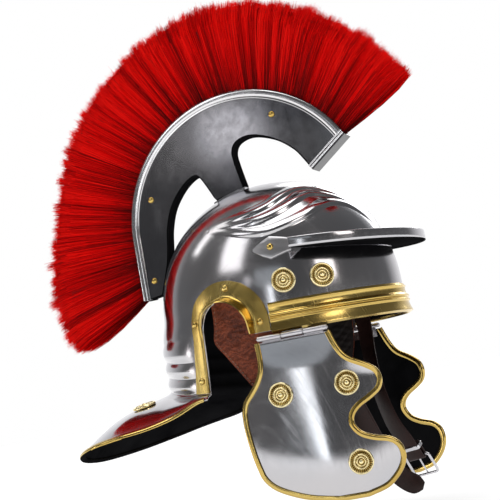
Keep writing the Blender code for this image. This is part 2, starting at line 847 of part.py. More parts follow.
def crest_edge_bar(side):
    """The raised, rounded band along the outer edge of one side plate."""
    face = side * (CREST_HALF_THICK - 0.4)
    rise = side * (CREST_EDGE_RISE + 0.4)
    section = ((0.35, 0.0), (1.6, 0.9), (7.4, 1.0), (CREST_EDGE_WIDTH, 0.0))
    rows = []
    for (outer_y, outer_z), (inner_y, inner_z) in zip(crest_outer(0.0), crest_outer(CREST_EDGE_WIDTH)):
        outer = Vector((0, outer_y, outer_z))
        inner = Vector((0, inner_y, inner_z))
        rows.append([
            outer.lerp(inner, inset / CREST_EDGE_WIDTH) + Vector((face + rise * high, 0, 0))
            for inset, high in section
        ])
    rows[0] = [v.lerp(w, 0.02) for v, w in zip(rows[0], rows[1])]
    rows[-1] = [v + Vector((0, 0, 0.4)) for v in rows[-1]]
    return loft(rows)


def make_crest():
    outline = crest_outline()
    for name, side in SIDES:
        near, far = sorted((side * (CREST_HALF_THICK - CREST_SHEET), side * CREST_HALF_THICK))
        plate = new_object("crest_plate_" + name, extruded([outline], near, far, IN_MIDDLE_PLANE), "crest_steel")
        bar = new_object("crest_edge_" + name, crest_edge_bar(side), "crest_steel")
        boolean(plate, bar, "UNION")
    room = CREST_HALF_THICK - CREST_SHEET - GAP
    core = crest_outline(CORE_TOP_INSET, CORE_INSET)
    new_object("crest_core", extruded([core], -room, room, IN_MIDDLE_PLANE), "black_paint")
    make_crest_cap()
    make_crest_seat()


def make_crest_cap():
    """A folded strip over the front end of the crest box."""
    top = Vector((0, *on_arc((CREST_BACK, CREST_HEIGHT), CREST_RADIUS, CREST_FRONT_ANGLE)))
    low = Vector((0, *CREST_END_INNER))
    run = (low - top).normalized()
    out = Vector((0, run.z, -run.y))
    out = out if out.y < 0 else -out
    room = CREST_HALF_THICK + CREST_EDGE_RISE + GAP
    wall = room + CAP_SHEET
    section = (
        (-wall, -CAP_LIP),
        (-room, -CAP_LIP),
        (-room, GAP),
        (room, GAP),
        (room, -CAP_LIP),
        (wall, -CAP_LIP),
        (wall, GAP + CAP_SHEET),
        (-wall, GAP + CAP_SHEET),
    )
    rows = []
    for place in (top - run * 0.5, low + run * 1.0):
        rows.append([place + Vector((a, 0, 0)) + out * b for a, b in section])
    new_object("crest_cap", loft(rows), "crest_steel")


def make_crest_seat():
    """The low plate on the crown that the fork stands in, following the bowl."""
    rows = []
    for step in range(5):
        back = mixed(*SEAT_SPAN, step / 4)
        low, high = [], []
        for across in (-SEAT_HALF_WIDTH, 0, SEAT_HALF_WIDTH):
            height = crown_height(across, back)
            low.append(Vector((across, back, height + FITTING_GAP)))
            high.append(Vector((across, back, height + FITTING_GAP + SEAT_THICK)))
        rows.append(low + high[::-1])
    new_object("crest_seat", loft(rows), "crest_steel")


def crown_height(across, back):
    """Height of the bowl's top over a point of its plan."""
    low, high = SHOULDER, SKULL_TOP
    for _ in range(30):
        height = (low + high) / 2
        wide, front, rear = skull_reach(height)
        length = front if back < SKULL_MID else rear
        inside = (across / max(wide, 0.01)) ** 2 + ((back - SKULL_MID) / max(length, 0.01)) ** 2 < 1
        low, high = (height, high) if inside else (low, height)
    return low


def plume_line(share):
    """Foot and tip of the bristle at this share of the way from front to back."""
    centre = (CREST_BACK, CREST_HEIGHT)
    radius = CREST_RADIUS - PLUME_SEAT
    if share < PLUME_SHARE_ON_ARC:
        foot = on_arc(centre, radius, mixed(CREST_FRONT_ANGLE + 1.0, 90, share / PLUME_SHARE_ON_ARC))
    else:
        down = (share - PLUME_SHARE_ON_ARC) / (1 - PLUME_SHARE_ON_ARC)
        foot = (CREST_BACK + radius, mixed(CREST_HEIGHT, CREST_TAIL + 1.0, down))
    angle = mixed(*PLUME_TIP_ANGLES, share)
    start, end = PLUME_TAIL_ANGLES
    reach = PLUME_TIP_RADIUS - PLUME_END_LOSS * abs(math.sin(math.radians(angle)))
    reach += PLUME_TAIL_GAIN * smooth((angle - start) / (end - start))
    return Vector((0, *foot)), Vector((0, *on_arc(centre, reach, angle)))


def make_plume():
    """A fan of tapering locks: each has a crest line, with a pinched, shorter valley on either side."""
    rows = []
    stations = PLUME_LOCKS * 2 + 1
    for n in range(stations):
        valley = n % 2 == 0
        foot, tip = plume_line(n / (stations - 1))
        uneven = 2.0 * math.sin(n * 2.4) + 1.2 * math.sin(n * 5.1)
        length = (tip - foot).length
        tip = foot.lerp(tip, 1 + (uneven - (LOCK_NOTCH if valley else 0)) / length)
        pinch = LOCK_PINCH if valley else 1.0
        left, right = [], []
        for level, half in PLUME_SECTION:
            half *= 1 - (1 - pinch) * smooth(level / 0.3)
            point = foot.lerp(tip, level)
            left.append(point + Vector((half, 0, 0)))
            right.append(point - Vector((half, 0, 0)))
        rows.append(left + right[::-1])
    new_object("crest_plume", loft(rows), "red_bristle")


# Cheek pieces


def hinge_frame(side):
    """Hinge centre, and the directions along the hinge to the front, outwards and down."""
    centre = Vector((side * HINGE_ACROSS, HINGE_BACK, HINGE_HEIGHT))
    forward = Vector((-side * math.sin(HINGE_SLANT), -math.cos(HINGE_SLANT), 0))
    outward = Vector((side * math.cos(HINGE_SLANT), -math.sin(HINGE_SLANT), 0))
    return centre, forward, outward, Vector((0, 0, -1))


def cheek_point(side, back, height):
    """A point on the outer face of a cheek piece, dished in towards its lobes and its back edge."""
    centre, forward, outward, _ = hinge_frame(side)
    ahead = (HINGE_BACK - back) / math.cos(HINGE_SLANT)
    down = HINGE_HEIGHT - height
    bend = 0.0
    for reach, (bend_start, bend_size) in ((ahead, CHEEK_FRONT_BEND), (-ahead, CHEEK_BACK_BEND)):
        bend += max(0.0, reach - bend_start) ** 2 / bend_size
    bend *= smooth((down - CHEEK_LEAF_DROP) / CHEEK_BEND_DEPTH)
    lift = CHEEK_SHEET / 2 + CHEEK_FLARE * down - bend
    return centre + forward * ahead + outward * lift + Vector((0, 0, -down))


def cheek_normal(side, back, height):
    step = 1.0
    along_back = cheek_point(side, back + step, height) - cheek_point(side, back - step, height)
    along_up = cheek_point(side, back, height + step) - cheek_point(side, back, height - step)
    normal = along_back.cross(along_up).normalized()
    return normal if normal.x * side > 0 else -normal


def cheek_grid(side):
    grid = []
    for height, front, back in CHEEK_ROWS:
        places = [mixed(front, back, n / CHEEK_COLUMNS) for n in range(CHEEK_COLUMNS + 1)]
        grid.append([(place, height) for place in places])
    return grid


def make_cheek(name, side, pivot):
    grid = cheek_grid(side)
    rows = [[cheek_point(side, *place) for place in row] for row in grid]
    rows = rows if side == RIGHT else [row[::-1] for row in rows]
    shape = split_quads(*loft(rows, ring=False))
    centre = hinge_frame(side)[0]
    plate = new_object("cheek_plate_" + name, shape, "polished_steel", pivot, centre, open_sheet=True)
    solidify(plate, CHEEK_SHEET)
    edge = [row[0] for row in grid] + grid[-1][1:-1] + [row[-1] for row in reversed(grid)]
    path = [cheek_point(side, *place) for place in edge]
    normals = [cheek_normal(side, *place) for place in edge]
    inward = []
    for n in range(len(path)):
        run = (path[min(n + 1, len(path) - 1)] - path[max(n - 1, 0)]).normalized()
        inward.append(normals[n].cross(run).normalized() * side)
    shape = folded_channel(path, inward, normals, CHEEK_SHEET)
    new_object("cheek_trim_" + name, shape, "polished_brass", pivot, centre)


def circle(radius, sides, turn=0.5):
    return [on_arc((0, 0), radius, 360 * (n + turn) / sides) for n in range(sides)]


def hinge_matrix(side):
    """Turns an outline drawn outwards and up into the hinge's cross-section, with length to the front."""
    centre, forward, outward, down = hinge_frame(side)
    return Matrix.Translation(centre) @ Matrix((outward, -down, forward)).transposed().to_4x4()


def cylinder(radius, low, high, place):
    """A cylinder between two distances along the third axis of a matrix."""
    work = bmesh.new()
    bmesh.ops.create_cone(
        work, cap_ends=True, segments=KNUCKLE_SIDES, radius1=radius, radius2=radius, depth=high - low
    )
    shift = Vector((0, 0, (low + high) / 2))
    verts = [place @ (v.co + shift) for v in work.verts]
    faces = [tuple(v.index for v in face.verts) for face in work.faces]
    work.free()
    return verts, faces


def make_bowl_leaf(name, place):
    """The middle knuckle, with the cranked leaf that reaches up behind the brow rim."""
    rings = [circle(KNUCKLE_RADIUS, KNUCKLE_SIDES), circle(KNUCKLE_BORE, KNUCKLE_SIDES)]
    start, end = KNUCKLE_SPLITS[0] + GAP, KNUCKLE_SPLITS[1] - GAP
    leaf = new_object("hinge_bowl_leaf_" + name, extruded(rings, start, end, place), "hinge_steel")
    strip = new_object("bowl_leaf_strip_" + name, extruded([BOWL_LEAF_SECTION], start, end, place), "hinge_steel")
    boolean(leaf, strip, "UNION")


def make_cheek_leaf(name, side, place, pivot):
    """The two outer knuckles on a leaf behind the cheek piece, which leaves room for the middle one."""
    centre = hinge_frame(side)[0]
    rings = [circle(KNUCKLE_RADIUS, KNUCKLE_SIDES), circle(KNUCKLE_BORE, KNUCKLE_SIDES)]
    outer = -CHEEK_SHEET / 2 - GAP
    inner = outer - LEAF_SHEET
    lean = CHEEK_FLARE * CHEEK_LEAF_DROP
    low_edge = [(outer + lean, -CHEEK_LEAF_DROP), (inner + lean, -CHEEK_LEAF_DROP)]
    notch = KNUCKLE_RADIUS + GAP * 2
    strip = [(inner + LEAF_STEP, -notch), (outer + LEAF_STEP, -notch)] + low_edge
    tongue = [(inner, TONGUE_TOP[0]), (outer, TONGUE_TOP[1])] + low_edge
    ends = (CHEEK_LEAF_INSET - HINGE_HALF_LENGTH, HINGE_HALF_LENGTH - CHEEK_LEAF_INSET)
    leaf = new_object("hinge_cheek_leaf_" + name, extruded([strip], *ends, place), "hinge_steel", pivot, centre)
    spans = (
        ("back", -HINGE_HALF_LENGTH, KNUCKLE_SPLITS[0] - GAP),
        ("front", KNUCKLE_SPLITS[1] + GAP, HINGE_HALF_LENGTH),
    )
    for part, start, end in spans:
        barrel = extruded(rings, start, end, place)
        barrel = new_object(f"barrel_{part}_{name}", barrel, "hinge_steel", pivot, centre)
        near = max(start + TONGUE_INSET, ends[0] + TONGUE_END_INSET)
        far = min(end - TONGUE_INSET, ends[1] - TONGUE_END_INSET)
        arm = extruded([tongue], near, far, place)
        arm = new_object(f"tongue_{part}_{name}", arm, "hinge_steel", pivot, centre)
        boolean(leaf, barrel, "UNION")
        boolean(leaf, arm, "UNION")


def make_hinge(name, side, pivot):
    place = hinge_matrix(side)
    reach = HINGE_HALF_LENGTH + PIN_HEAD
    new_object("hinge_pin_" + name, cylinder(PIN_RADIUS, -reach, reach, place), "hinge_steel")
    make_bowl_leaf(name, place)
    make_cheek_leaf(name, side, place, pivot)


# Rosettes and rivets


def turned_object(name, section, sides, material):
    """A turned solid on a flat back, from rows of radius and height that end on the axis."""
    profile = [(0.0, section[0][1]), *section]
    mesh = bpy.data.meshes.new(name)
    edges = [(n, n + 1) for n in range(len(profile) - 1)]
    mesh.from_pydata([(radius * MM, 0, height * MM) for radius, height in profile], edges, [])
    mesh.materials.append(MATERIALS[material])
    obj = bpy.data.objects.new(name, mesh)
    HELMET.objects.link(obj)
    turning = obj.modifiers.new("turning", "SCREW")
    turning.steps = sides
    turning.render_steps = sides
    turning.use_merge_vertices = True
    turning.merge_threshold = MERGE_DISTANCE * MM
    turning.use_normal_calculate = True
    turning.use_normal_flip = True
    turning.use_smooth_shade = True
    return obj


def seat(obj, point, normal, pivot=None, origin=(0, 0, 0)):
    """Sets a fastening down on a surface, its axis along the surface's normal."""
    turn = normal.to_track_quat("Z", "Y").to_matrix().to_4x4()
    place = (point + normal * GAP - Vector(origin)) * MM
    obj.matrix_local = Matrix.Translation(place) @ turn
    obj.parent = pivot or FRAME


def new_rosette(name, point, normal, pivot=None, origin=(0, 0, 0)):
    section = [(share * ROSETTE_RADIUS, height) for share, height in ROSETTE_SECTION]
    obj = turned_object(name, section, ROSETTE_SIDES, "polished_brass")
    seat(obj, point, normal, pivot, origin)


def new_rivet(name, point, normal, pivot=None, origin=(0, 0, 0)):
    section = [(across * RIVET_RADIUS, up * RIVET_RISE) for across, up in RIVET_SECTION]
    obj = turned_object(name, section, RIVET_SIDES, "polished_brass")
    seat(obj, point, normal, pivot, origin)


def make_fastenings(name, side, pivot):
    centre = hinge_frame(side)[0]
    for n, (back, height) in enumerate(BOWL_ROSETTES):
        degrees = side * skull_angle(back, height)
        new_rosette(f"bowl_rosette_{name}_{n + 1}", skull_point(degrees, height), skull_normal(degrees, height))
    for n, (back, height) in enumerate(CHEEK_ROSETTES):
        normal = cheek_normal(side, back, height)
        new_rosette(f"cheek_rosette_{name}_{n + 1}", cheek_point(side, back, height), normal, pivot, centre)
    for n, (back, height) in enumerate(EAR_RIVETS):
        degrees = side * skull_angle(back, height)
        normal = skull_normal(degrees, height)
        point = skull_point(degrees, height, FITTING_GAP + EAR_GUARD_SHEET)
        new_rivet(f"ear_rivet_{name}_{n + 1}", point, normal)
    for n, (back, height) in enumerate(CREST_RIVETS):
        point = Vector((side * CREST_HALF_THICK, back, height))
        new_rivet(f"crest_rivet_{name}_{n + 1}", point, Vector((side, 0, 0)))
    degrees = side * skull_angle(*TAB_RIVET)
    normal = skull_normal(degrees, TAB_RIVET[1])
    new_rivet("peak_rivet_" + name, skull_point(degrees, TAB_RIVET[1], FITTING_GAP + PEAK_SHEET), normal)


def make_guard_rosettes():
    for n, (degrees, share) in enumerate(GUARD_ROSETTES):
        point = guard_point(degrees, share)
        across = guard_point(degrees + 2, share) - guard_point(degrees - 2, share)
        if degrees == 180:
            across = guard_point(178, share) - guard_point(-178, share)
        out = guard_point(degrees, share + 0.05) - guard_point(degrees, share - 0.05)
        normal = across.cross(out).normalized()
        new_rosette(f"guard_rosette_{n + 1}", point, normal if normal.z > 0 else -normal)


# Leather


def make_flap(name, side):
    """The leather tongue that hangs inside each ear opening, from the bowl's inner face."""
    rows = []
    for height, front, back in FLAP_ROWS:
        settle = FLAP_SETTLE * smooth((FLAP_ROWS[0][0] - height) / 30.0)
        inset = SHEET + FITTING_GAP + GAP + settle
        hang = max(height, 14.0)
        places = [mixed(front, back, n / 3) for n in range(4)]
        outer = [skull_at(side, place, hang, -inset) for place in places]
        inner = [skull_at(side, place, hang, -inset - LEATHER) for place in places]
        for v in outer + inner:
            v.z = height
        rows.append(outer + inner[::-1])
    new_object("liner_flap_" + name, loft(rows), "liner_leather")


def strap_frames(side, table):
    """Centre points of a strap with its width and face directions."""
    line = curve_through([row[:3] for row in table], 2)
    turns = curve_through([(row[3], 0, 0) for row in table], 2)
    found = []
    for n, point in enumerate(line):
        run = (line[min(n + 1, len(line) - 1)] - line[max(n - 1, 0)]).normalized()
        face = Vector((1, 0, 0))
        face = (face - run * face.dot(run)).normalized()
        face = Matrix.Rotation(math.radians(turns[n].x), 3, run) @ face
        wide = run.cross(face).normalized()
        flip = Vector((side, 1, 1))
        found.append([Vector(a * b for a, b in zip(v, flip)) for v in (point, run, wide, face)])
    return found


def ribbon(frames, widths, thick=LEATHER):
    rows = []
    for (point, _, wide, face), width in zip(frames, widths):
        a = wide * width / 2
        b = face * thick / 2
        rows.append([point - a - b, point + a - b, point + a + b, point - a + b])
    return loft(rows)


def make_tail_strap():
    frames = strap_frames(RIGHT, TAIL_STRAP)
    lengths = [(frames[-1][0] - frame[0]).length for frame in frames]
    widths = [STRAP_WIDTH * (1 - 0.62 * (1 - min(1.0, d / TIP_LENGTH)) ** 1.6) for d in lengths]
    new_object("chin_strap_right", ribbon(frames, widths), "strap_leather")


def make_buckle_strap():
    """The buckle strap ends in a fold round the buckle's bar, held by a keeper."""
    frames = strap_frames(LEFT, BUCKLE_STRAP)
    point, run, wide, face = frames[-1]
    turn_radius = BUCKLE_BAR + GAP + LEATHER / 2
    bar = point + face * turn_radius + run * BAR_AHEAD
    bend = []
    for step in range(FOLD_STEPS + 1):
        angle = math.radians(-90 + 180 * step / FOLD_STEPS)
        centre = bar + (run * math.cos(angle) + face * math.sin(angle)) * turn_radius
        normal = -(run * math.cos(angle) + face * math.sin(angle))
        bend.append([centre, run, wide, normal])
    last = bend[-1]
    back_end = [last[0] - run * FOLD_BACK, run, wide, last[3]]
    frames = frames + bend + [back_end]
    new_object("chin_strap_left", ribbon(frames, [STRAP_WIDTH] * len(frames)), "strap_leather")
    make_buckle(bar, run, wide, face)
    make_keeper(point + face * turn_radius - run * KEEPER_SETBACK, run, wide, face, turn_radius)


def make_buckle(bar, run, wide, face):
    """A plain rectangular wire buckle with its prong on the bar."""
    half = BUCKLE_WIDTH / 2
    corners = ((0, -1), (0, 1), (1, 1), (1, -1))
    path = []
    for along_run, across in corners:
        point = bar + run * (BUCKLE_LENGTH * along_run) + wide * (half * across)
        inward = run * (BUCKLE_CORNER if along_run == 0 else -BUCKLE_CORNER)
        sideways = wide * (-BUCKLE_CORNER * across)
        first, second = (inward, sideways) if (along_run, across) in ((0, -1), (1, 1)) else (sideways, inward)
        path += [point + first, point + (first + second) * CORNER_EASE, point + second]
    wire_frame("strap_buckle", path, BUCKLE_BAR, "hinge_steel")


def wire_frame(name, path, radius, material):
    """A closed frame of round wire."""
    curve = bpy.data.curves.new(name, "CURVE")
    curve.dimensions = "3D"
    curve.bevel_depth = radius * MM
    curve.bevel_resolution = 2
    curve.materials.append(MATERIALS[material])
    spline = curve.splines.new("POLY")
    spline.points.add(len(path) - 1)
    for point, place in zip(spline.points, path):
        point.co = (*(place * MM), 1)
    spline.use_cyclic_u = True
    frame = bpy.data.objects.new(name, curve)
    frame.parent = FRAME
    HELMET.objects.link(frame)


def make_keeper(centre, run, wide, face, half_gap):
    """A flat metal loop round both layers of the folded strap end."""
    room_wide = STRAP_WIDTH / 2 + FITTING_GAP
    room_face = half_gap + LEATHER / 2 + FITTING_GAP
    rows = []
    for a, b in ((-1, -1), (1, -1), (1, 1), (-1, 1)):
        inner = centre + wide * (room_wide * a) + face * (room_face * b)
        outer = inner + wide * (KEEPER_SHEET * a) + face * (KEEPER_SHEET * b)
        near, far = run * (KEEPER_WIDTH / 2), run * (-KEEPER_WIDTH / 2)
        rows.append([inner + near, outer + near, outer + far, inner + far])
    new_object("strap_keeper", loft(rows, loop=True), "hinge_steel")


def make_strap_rivets():
    for (name, side), table in zip(SIDES, (TAIL_STRAP, BUCKLE_STRAP)):
        point, run, _, face = strap_frames(side, table)[0]
        new_rivet("strap_rivet_" + name, point + run * STRAP_RIVET_DROP - face * LEATHER / 2, -face)


# Assembly


def make_helmet():
    make_skull()
    make_guard_trim()
    make_brow_band()
    make_peak()
    make_crest()
    make_plume()
    make_guard_rosettes()
    for name, side in SIDES:
        pivot = new_empty("hinge_axis_" + name, hinge_frame(side)[0], FRAME)
        make_ear_guard(name, side)
        make_cheek(name, side, pivot)
        make_hinge(name, side, pivot)
        make_fastenings(name, side, pivot)
        make_flap(name, side)
    make_tail_strap()
    make_buckle_strap()
    make_strap_rivets()


# Puts an outline of back and height into the middle plane, with its thickness across
IN_MIDDLE_PLANE = Matrix(((0, 0, 1, 0), (1, 0, 0, 0), (0, 1, 0, 0), (0, 0, 0, 1)))
clear_scene()
HELMET = new_collection("roman_legionary_helmet")
HELPERS = new_collection("helpers")
HELPERS.hide_render = True
MATERIALS = new_materials()
FRAME = new_empty("helmet_frame", (0, 0, SHEET - SKULL_TOP))
make_helmet()
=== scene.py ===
"""Looks of the Roman helmet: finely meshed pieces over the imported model, with materials, light and camera.

Shapes are worked out in millimetres in the helmet's own measure: x across, y from front to back and
z up from the brow rim. place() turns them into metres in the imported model's frame.
"""

import math

import bmesh
import bpy
import numpy as np
from mathutils import Matrix, Vector


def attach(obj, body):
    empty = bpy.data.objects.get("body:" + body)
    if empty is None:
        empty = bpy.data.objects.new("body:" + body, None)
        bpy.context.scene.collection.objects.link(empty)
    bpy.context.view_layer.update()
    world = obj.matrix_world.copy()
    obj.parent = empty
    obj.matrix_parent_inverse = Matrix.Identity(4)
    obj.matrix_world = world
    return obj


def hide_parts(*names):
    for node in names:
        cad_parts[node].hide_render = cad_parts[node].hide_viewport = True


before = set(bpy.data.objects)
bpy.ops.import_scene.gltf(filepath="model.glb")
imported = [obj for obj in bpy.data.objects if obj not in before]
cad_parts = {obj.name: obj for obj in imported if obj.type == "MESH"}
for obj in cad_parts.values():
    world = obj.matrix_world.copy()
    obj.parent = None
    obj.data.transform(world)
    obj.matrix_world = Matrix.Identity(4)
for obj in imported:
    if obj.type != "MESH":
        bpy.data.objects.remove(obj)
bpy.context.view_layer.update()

MM = 0.001
CROWN_INSIDE = 148.3
SIDES = (("right", -1), ("left", 1))
ROOT = "bowl_and_crest"
GAP, FITTING_GAP = 0.35, 0.55

# Bowl: sheet, half width, reach to front and back of the middle, top, and height of the widest line
SHEET, BACKING_SINK = 1.4, 0.3
HALF_WIDTH, FRONT, BACK, MIDDLE, TOP, SHOULDER = 99.0, 118.9, 125.0, -3.1, 149.7, 25.6
FRONT_ROUND, BACK_ROUND, SIDE_ROUND = 2.26, 2.12, 2.3
BROW_RIM = 1.0
# Columns in degrees round from the front: the brow's and the nape's, and those that are closer together
FRONT_COLUMNS, NAPE_COLUMNS, BROW_COLUMNS = 100.0, 110.0, 116
# Crown rows are closer together over the brows: share of the rows, share of the way down from the top
CROWN_ROWS = ((0.0, 0.12, 0.84, 1.0), (0.0, 0.27, 0.73, 1.0))
# Ear opening: middle and radius of its arch, and the line of its back leg
EAR_MIDDLE, EAR_RADIUS, EAR_LEG, EAR_LEG_LOW = (26.0, 12.0), 27.0, (57.0, -47.0), (61.0, -110.0)
EAR_BOTTOM = -60.0

# Nape and its ribs
NAPE_FLARE, NAPE_FLARE_START, NAPE_TOP = 5.0, 35.0, 10.75
RIB_TOP, RIB_SPACING, RIB_RISE, RIB_ROUND = 3.0, 15.5, 2.4, 0.1
RIB_FADE = (69.0, 86.0)
CREASE, DROOP, DROOP_SPAN, DROOP_START = -36.5, 10.0, (45.0, 130.0), 12.0
# Rim of the neck guard: angle round from the front, across, back, height
GUARD_RIM = np.array((
    (110, 101.0, 40.0, -50.0),
    (121, 99.0, 65.0, -51.5),
    (131, 108.0, 89.0, -61.5),
    (140, 122.0, 112.5, -68.0),
    (148, 134.5, 138.0, -71.5),
    (156, 135.5, 163.0, -75.5),
    (164, 115.0, 187.5, -81.5),
    (172, 66.0, 209.0, -88.0),
    (180, 0.0, 219.0, -91.0),
))
GUARD_TRIM_START = 119.0
GUARD_BULGES, GUARD_BULGE_ANGLES, GUARD_BULGE_SLOPE, GUARD_SKEW = (3.0, 11.5), (140, 180), 0.13, 1.2

# Eyebrow ridges: angle round from the front, height
BROW_RIDGES = (
    ((112, 107), (101, 101), (89, 95), (78, 93), (66, 97), (54, 103), (42, 110), (31, 112.5), (20, 109),
     (11, 99), (4, 87)),
    ((112, 108), (100, 106.5), (88, 105), (77, 107.5), (66, 113), (54, 120.5), (43, 124.5), (32, 122.5),
     (21, 116), (12, 106), (4, 93)),
    ((112, 109), (99, 111), (86, 114), (75, 119), (65, 126), (53, 131.5), (41, 132.5), (30, 128.5),
     (20, 121), (11, 111.5), (4, 100)),
)
# Ridges fall off steeply below and gently above, and fade at their ends
RIDGE_BELOW, RIDGE_ABOVE, RIDGE_RISE, RIDGE_FADE = 3.6, 9.0, 2.1, 0.26

# Brow band: angle where it ends; its section as out from the bowl, height
BAND_END, BAND_LEVEL = 82.5, 12.0
BAND_SECTION = (
    (0.5, 0.2), (5.2, 0.0), (5.5, 0.5), (5.3, 1.2), (3.9, 5.0), (3.1, 8.4), (3.3, 9.4), (4.2, 10.4),
    (4.4, 11.1), (3.8, 12.0), (2.9, 12.6), (3.2, 13.3), (4.1, 14.2), (4.3, 15.0), (3.5, 16.2), (2.0, 17.4),
    (1.6, 19.0), (1.5, 21.6), (1.8, 23.4), (2.4, 24.2), (2.4, 24.8), (1.6, 25.0), (0.5, 24.9),
)
# Folded edges of the neck guard and the cheek pieces
FOLD_DEPTH, FOLD_SHEET = 3.2, 0.95

# Ear guards: share of the way along, width on the bowl, width of the flange
EAR_GUARD_WIDTHS = (
    (0.0, 16.5, 9.0), (0.18, 16.5, 15.0), (0.42, 17.0, 19.0), (0.58, 15.5, 13.0),
    (0.68, 13.0, 4.0), (0.75, 12.0, 1.2), (0.9, 14.0, 1.2), (1.0, 17.0, 1.2),
)
GUARD_SHEET, FLANGE_LEAN, FILLET = 0.9, 0.22, 1.6

# Peak: half width, middle, reach, height and slope; its turned-up rim as out, up
PEAK_WIDE, PEAK_MIDDLE, PEAK_REACH, PEAK_HEIGHT, PEAK_SLOPE = 107.0, -51.5, 101.0, 72.2, 0.073
PEAK_SHEET, PEAK_SEAT = 1.3, 62
PEAK_RIM = (
    (0.0, 0.6), (0.0, 3.0), (0.0, 6.0), (0.0, 8.9), (-0.3, 9.6), (-0.9, 9.9),
    (-1.5, 9.6), (-1.7, 9.0), (-1.5, 8.2), (-1.3, 6.0), (-1.3, 3.0), (-1.3, 2.0),
)
# Pointed tab: back, bottom, top
PEAK_TAB = (
    (-47.0, 71.4, 82.4), (-42.0, 70.6, 84.6), (-28.0, 66.8, 88.0), (-21.0, 70.2, 84.6), (-12.0, 76.6, 78.4),
)

# Crest: its arc and where that starts, the tail's lower end, and the side plates
ARC_MIDDLE, ARC_RADIUS, ARC_START, TAIL_END = (16.4, 122.3), 127.8, -62.7, 60.2
PLATE_OUT, PLATE_SHEET, EDGE_WIDTH = 8.5, 1.2, 9.5
# Raised edge band: inset, rise
CREST_EDGE = (
    (0.2, -1.0), (0.2, 0.3), (0.8, 1.0), (2.2, 1.55), (4.0, 1.75), (6.0, 1.55), (7.0, 1.1),
    (7.4, 0.75), (7.9, 1.25), (8.6, 1.35), (9.2, 0.9), (9.5, -0.1), (9.5, -0.6), (5.0, -0.6),
)
# Side of the end cap: how far it stands out, place ahead of the plates' end
CAP_OUT = 11.45
CAP_BEADS = (
    (-0.3, -5.0), (0.1, -4.7), (0.25, -4.1), (0.1, -3.5), (-0.3, -3.1), (-0.3, -2.7), (0.1, -2.2),
    (0.3, -1.4), (0.1, -0.6), (-0.3, -0.3), (-0.2, 0.3), (0.0, 0.9), (-0.3, 1.35),
)
# Lower edge of the crest box on both sides of its leg: back, height
CREST_LOWER = (
    ((122.4, 63.3), (112.5, 90.0), (108.5, 106.0), (104.9, 127.0), (98.0, 146.0), (88.0, 160.0),
     (77.0, 170.0), (66.0, 175.4), (59.5, 173.0), (53.0, 161.5), (45.8, 146.0)),
    ((16.0, 152.0), (17.6, 160.0), (20.4, 176.0), (21.4, 189.0), (16.0, 198.5), (3.0, 202.6),
     (-12.0, 199.8), (-30.0, 190.8), (-45.0, 178.0), (-53.5, 165.5), (-60.0, 154.4)),
)

# Plume: the bristles' tips by angle, and how much shorter or longer they are towards the ends
TIP_ANGLES, TIP_RADIUS, END_LOSS = (-60.5, 116.0), 215.5, 7.0
TAIL_GAIN, TAIL_ANGLES, ARC_SHARE = 22.0, (72.0, 110.0), 0.85
# Share of the way out, half width
PLUME_WIDTHS = ((0.0, 6.5), (0.3, 14.0), (0.75, 25.5), (1.0, 20.5))
BED_WIDTHS = ((0.0, 6.0), (0.3, 12.6), (0.6, 20.0), (0.75, 22.5), (0.9, 18.0))
PLUME_SEED, BRISTLES, LOCKS, TUFTS, TUFT_DEPTH = 11, 21000, 90, (640, 31), 7.0
# Bristle: share of the way out, share of its width, how much lighter it is, which paints shade at the root
# and light at the tip
BRISTLE = ((0.0, 1.0, -0.42), (0.28, 1.0, -0.16), (0.55, 0.95, 0.0), (0.8, 0.8, 0.08), (1.0, 0.25, 0.18))

# Cheek pieces: hinge, flare, bends towards the front and the back, and crown
CHEEK_SHEET = 1.2
HINGE_PLACE, HINGE_SLANT, HINGE_HALF = (98.5, -36.5, -5.0), math.radians(8.0), 33.0
CHEEK_FLARE, CHEEK_BENDS = 0.06, ((12.0, 500.0), (20.0, 330.0))
CHEEK_BEND_START, CHEEK_BEND_DEPTH = 12.0, 40.0
CHEEK_CROWN, CHEEK_CROWN_REACH, CHEEK_CROWN_LINE, CHEEK_CROWN_LEAN = 1.7, 58.0, -36.0, 0.2
# Hammered dome: middle line, heights where top and jaw begin to turn, arc at the sides
CHEEK_DOME, TOP_BEND, JAW_BEND = (-60.0, -44.7, -113.7, 14.4), 0.001, 0.0017
# Cheek piece outline: height, front edge, back edge
CHEEK_ROWS = (
    (-8.8, -69.5, -2.2), (-25.0, -75.4, -2.9), (-35.5, -82.6, -1.2), (-44.5, -97.4, 3.4),
    (-51.5, -105.8, 9.0), (-60.0, -108.0, 16.6), (-68.0, -105.0, 19.8), (-74.0, -96.8, 20.2),
    (-80.0, -85.8, 20.3), (-87.0, -78.8, 19.9), (-95.5, -77.4, 19.0), (-104.5, -83.2, 17.7),
    (-110.0, -94.0, 16.8), (-114.0, -107.2, 16.0), (-121.0, -114.8, 14.4), (-131.5, -116.6, 11.0),
    (-141.0, -113.0, 2.4), (-149.0, -106.2, -12.5), (-155.5, -97.0, -31.0), (-160.0, -80.5, -54.0),
)

# Hinges: radius of knuckle, bore and pin, half lengths of the gap between the outer knuckles and of the leaf
KNUCKLE, BORE, PIN, KNUCKLE_GAP, LEAF_HALF = 2.5, 1.3, 1.05, 10.8, 29.2

# Places: back, height, or on the neck guard angle and share of the way to the rim
BOWL_ROSETTES = ((-36.5, 45.0), (-70.0, 43.6))
CHEEK_ROSETTES = ((-17.6, -58.6), (-78.4, -58.1), (-78.8, -129.9))
GUARD_ROSETTES = ((-159, 0.33), (180, 0.67), (159, 0.33))
EAR_RIVETS = ((20.6, 48.4), (-8.6, 11.2), (60.6, 21.1), (63.6, -33.0))
CREST_RIVETS = ((-27.7, 217.0), (116.3, 160.7), (128.0, 78.4))
TAB_RIVET = (-28.4, 77.7)
